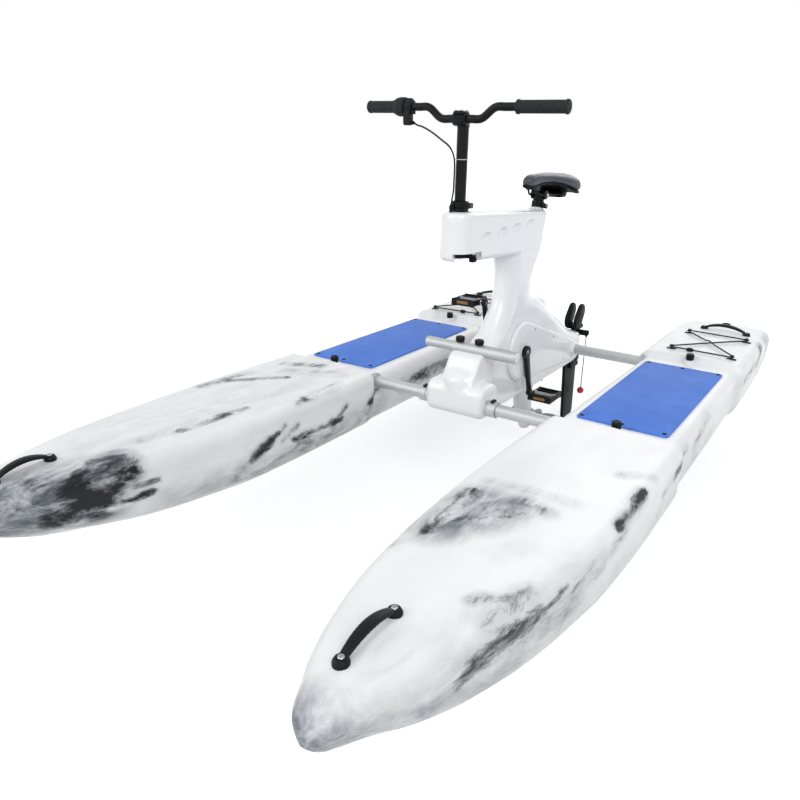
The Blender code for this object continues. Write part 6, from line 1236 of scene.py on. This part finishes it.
def lever_shape(centre_y, y, z, bore):
    """A cam barrel beside the clamp and a flat lever that leaves it and curls round the tube."""
    turn = np.linspace(radians(26), radians(-50), 14)
    curl = bore + 0.0108
    curled = np.stack([curl * np.cos(turn) + 0.002, centre_y + curl * np.sin(turn), np.full(14, z)], -1)
    path = eased(np.concatenate([[(0.0190, y, z), (0.0246, y - 0.004, z)], curled]), 48)
    share = np.linspace(0, 1, 48)
    height = 0.0062 - 0.0016 * share - 0.0030 * smoothed((share - 0.95) / 0.05)
    cam = lathe([(0.0, z - 0.0075), (0.0060, z - 0.0075), (0.0072, z - 0.0064), (0.0072, z + 0.0064),
                 (0.0060, z + 0.0075), (0.0030, z + 0.0076), (0.0028, z + 0.0066), (0.0, z + 0.0066)],
                (0.0185, y, 0), steps=32)
    return merged(swept(path, height, 20, wide=0.42), cam)


shape, (pivot_y, pivot_z) = collar_shape(STEER_Y, 0.9695, 0.9975, 0.0203)
barrel = lathe([(0.0, 0.9640), (0.0046, 0.9640), (0.0046, 0.9760), (0.0056, 0.9768), (0.0056, 0.9852),
                (0.0040, 0.9862), (0.0034, 0.9905), (0.0, 0.9905)], (-0.0100, -0.1962, 0), steps=28)
piece("post_clamp", merged(shape, barrel), powder_black, "steering", "post_collar", crease=40)
piece("post_clamp_skewer", skewer_shape(pivot_y, pivot_z), stainless, "steering")
piece("post_clamp_lever", lever_shape(STEER_Y, pivot_y, pivot_z, 0.0203), powder_black, "post_lever",
      "post_lever", crease=40)
ROD_X = 0.050
arm = slab(teardrop((0.0, STEER_Y), 0.027, (ROD_X, STEER_Y + 0.004), 0.0090, 56), 0.8376, 0.8484, edge=0.0026)
clevis = slab(rounded_outline((0.0400, -0.1690), (0.0590, -0.1490), 0.005, 6), 0.8262, 0.8380, edge=0.0028)
rod = lathe([(0.0, -0.1550), (0.0030, -0.1550), (0.0030, -0.1430), (0.0050, -0.1425), (0.0050, -0.1370),
             (0.0032, -0.1365), (0.0032, -0.1180), (0.0, -0.1180)], (ROD_X, 0, 0.8325), (0, 1, 0), 24)
piece("tiller_arm", merged(arm, clevis), glass_nylon, "steering", "steering_arm", crease=40)
stud = lathe([(0.0, 0.8470), (0.0050, 0.8470), (0.0050, 0.8510), (0.0040, 0.8520), (0.0, 0.8520)],
             (ROD_X, STEER_Y + 0.004, 0), steps=20)
piece("tiller_rod", merged(rod, stud), stainless, "steering")

# ---- Saddle
# Moulded foam under a stretched black vinyl cover, on a nylon shell with two steel rails. A clamp holds
# the rails on a slanted seatpost, which slides in the column and is locked by a quick-release collar.
# Grained vinyl: blue-black, with leather grain in cells of about 2 mm and broad soft highlights.
vinyl, tree, place = new_material("grained_black_vinyl", Coat_Weight=0.2)
grain = node(tree, "TexVoronoi", {"Vector": place, "Scale": 520.0}, feature="DISTANCE_TO_EDGE")
crazing = node(tree, "MapRange", {"Value": grain.outputs["Distance"], "From Min": 0.0, "From Max": 0.22})
wear = node(tree, "TexNoise", {"Vector": place, "Scale": 22.0, "Detail": 4.0})
tone = node(tree, "Mix", {"Factor": wear.outputs["Fac"], 6: linear("262834"), 7: linear("343748")},
            data_type="RGBA")
coat(tree, tone.outputs[2], wear.outputs["Fac"], (0.30, 0.44), crazing.outputs["Result"], 0.00010)
# The saddle's stations: y, half width, top z and underside z.
SADDLE_LINES = np.array((
    (0.2735, 0.005, 1.0330, 1.0210), (0.2760, 0.012, 1.0390, 1.0160), (0.2860, 0.019, 1.0480, 1.0120),
    (0.3050, 0.0235, 1.0530, 1.0120), (0.3400, 0.028, 1.0550, 1.0180), (0.3900, 0.040, 1.0550, 1.0200),
    (0.4400, 0.062, 1.0550, 1.0110), (0.4900, 0.082, 1.0540, 0.9930), (0.5300, 0.090, 1.0520, 0.9800),
    (0.5560, 0.080, 1.0440, 0.9840), (0.5680, 0.054, 1.0310, 0.9950), (0.5712, 0.030, 1.0220, 1.0030),
))


def saddle_skin(shrink, high, low, channel):
    """The saddle as a function of station and angle: a section with a crowned top, its widest line
    low down and an underside hollowed behind, a groove down its middle and a stitch line along
    each side."""
    t = np.linspace(0, 1, 150)
    y = SADDLE_LINES[0, 0] + (SADDLE_LINES[-1, 0] - SADDLE_LINES[0, 0]) * 0.5 * (1 - np.cos(pi * t))
    half, top, under = (faired(SADDLE_LINES, k, y)[:, None] for k in (1, 2, 3))
    half = half * shrink
    top, under = under + (top - under) * high, under + low
    rim = under + 0.40 * (top - under)
    a = (np.arange(200) * 2 * pi / 200)[None]
    c, s = np.cos(a), np.sin(a)
    x = half * np.sign(c) * np.abs(c) ** 0.78
    hollow = 0.022 * smoothed((y - 0.40) / 0.08)[:, None] * (1 - (x / half) ** 2)
    below = rim - under - np.minimum(hollow, 0.8 * (rim - under))
    z = rim + np.where(s > 0, (top - rim) * np.abs(s) ** 0.92, -below * np.abs(s) ** 0.8)
    upper = smoothed(s / 0.25)
    window = smoothed((y - 0.315) / 0.06) * smoothed((0.560 - y) / 0.05)
    z = z - channel * 0.0042 * upper * window[:, None] * np.exp(-(x / 0.0085) ** 2)
    z = z - channel * 0.0011 * upper * np.exp(-((np.abs(x) - 0.66 * half) / 0.0013) ** 2)
    return surface(np.stack([x, np.broadcast_to(y[:, None], x.shape), z], -1))


cushion = piece("saddle_cushion", saddle_skin(1.0, 1.0, 0.0, 1.0), vinyl, "seat", "saddle", crease=60)
t = np.linspace(0, 2 * pi, 160, endpoint=False)
y = 0.4223 + 0.1480 * np.cos(t)
reach = 0.965 * np.sign(np.sin(t)) * faired(SADDLE_LINES, 1, y) * np.minimum(1, np.abs(np.sin(t)) * 3) ** 0.5
welt = np.stack([reach, y, faired(SADDLE_LINES, 3, y) + 0.0045], -1)
shell = saddle_skin(0.93, 0.30, -0.0030, 0.0)
bracket = slab(rounded_outline((-0.046, 0.470), (0.046, 0.526), 0.014, 7), 0.9705, 0.9870, edge=0.0045, steps=6)
nose_block = slab(rounded_outline((-0.014, 0.296), (0.014, 0.322), 0.006, 6), 1.0040, 1.0180, edge=0.003)
struts = [slab(rounded_outline((x - 0.0070, 0.486), (x + 0.0070, 0.524), 0.004, 5), 0.9780, 1.0080, edge=0.002)
          for x in (-0.039, 0.039)]
piece("saddle_shell", merged(shell, bracket, nose_block, *struts), glass_nylon, "seat", crease=50)
piece("saddle_welt", swept(welt, 0.0014, 8, closed=True), grip_rubber, "seat")
rails = []
for side in (-1, 1):
    rail = np.array(((0.008, 0.304, 1.012), (0.014, 0.326, 0.998), (0.020, 0.350, 0.9855), (0.022, 0.390, 0.984),
                     (0.022, 0.430, 0.983), (0.034, 0.476, 0.980), (0.038, 0.510, 0.978))) * (side, 1, 1)
    rails.append(swept(eased(rail, 60), 0.0035, 16))
piece("saddle_rails", merged(*rails), powder_black, "seat")
clamp_at = (0, SEAT_Y + 0.135 * sin(SEAT_TILT), 0.984)
cradle = lathe([(0.0, -0.0280), (0.0142, -0.0280), (0.0162, -0.0262), (0.0162, -0.0186), (0.0145, -0.0172),
                (0.0128, -0.0160), (0.0128, 0.0160), (0.0145, 0.0172), (0.0162, 0.0186), (0.0162, 0.0262),
                (0.0142, 0.0280), (0.0, 0.0280)], clamp_at, (1, 0, 0), 40)
socket = lathe([(0.0, 0.1175), (0.0186, 0.1175), (0.0193, 0.1185), (0.0193, 0.1330), (0.0175, 0.1375), (0.0, 0.1380)],
               seat_foot, seat_line, 44)
piece("saddle_clamp", merged(cradle, socket), powder_black, "seat", crease=40)
clamp_bolt = lathe([(0.0, -0.0330), (0.0050, -0.0330), (0.0062, -0.0318), (0.0062, -0.0275), (0.0, -0.0275)],
                   clamp_at, (1, 0, 0), 24)
clamp_nut = (clamp_bolt[0] * (-1, 1, 1), clamp_bolt[1][:, ::-1], clamp_bolt[2][:, ::-1])
piece("saddle_clamp_bolt", merged(clamp_bolt, clamp_nut), stainless, "seat")
stem = [(0.0133, -0.1300), (0.0158, -0.1300), (0.0158, 0.1320), (0.0133, 0.1320), (0.0133, -0.1300)]
piece("seatpost_tube", lathe(stem, seat_foot, seat_line, 44), powder_black, "seat", "seatpost")


def leaning(shape):
    """A shape built upright, turned about the saddle tube's foot onto the tube's slant:
    y' = y cos + z sin and z' = z cos - y sin."""
    x, y, z = (shape[0] - seat_foot).T
    turned = np.stack([x, y * cos(SEAT_TILT) + z * sin(SEAT_TILT), z * cos(SEAT_TILT) - y * sin(SEAT_TILT)], -1)
    return turned + seat_foot, shape[1], shape[2]


shape, (pivot_y, pivot_z) = collar_shape(SEAT_Y, 0.944, 0.965, 0.0161)
piece("seat_clamp", leaning(shape), powder_black, "boat", "seat_collar", crease=40)
piece("seat_clamp_skewer", leaning(skewer_shape(pivot_y, pivot_z)), stainless, "boat")
piece("seat_clamp_lever", leaning(lever_shape(SEAT_Y, pivot_y, pivot_z, 0.0161)), powder_black, "seat_lever",
      "seat_lever", crease=40)
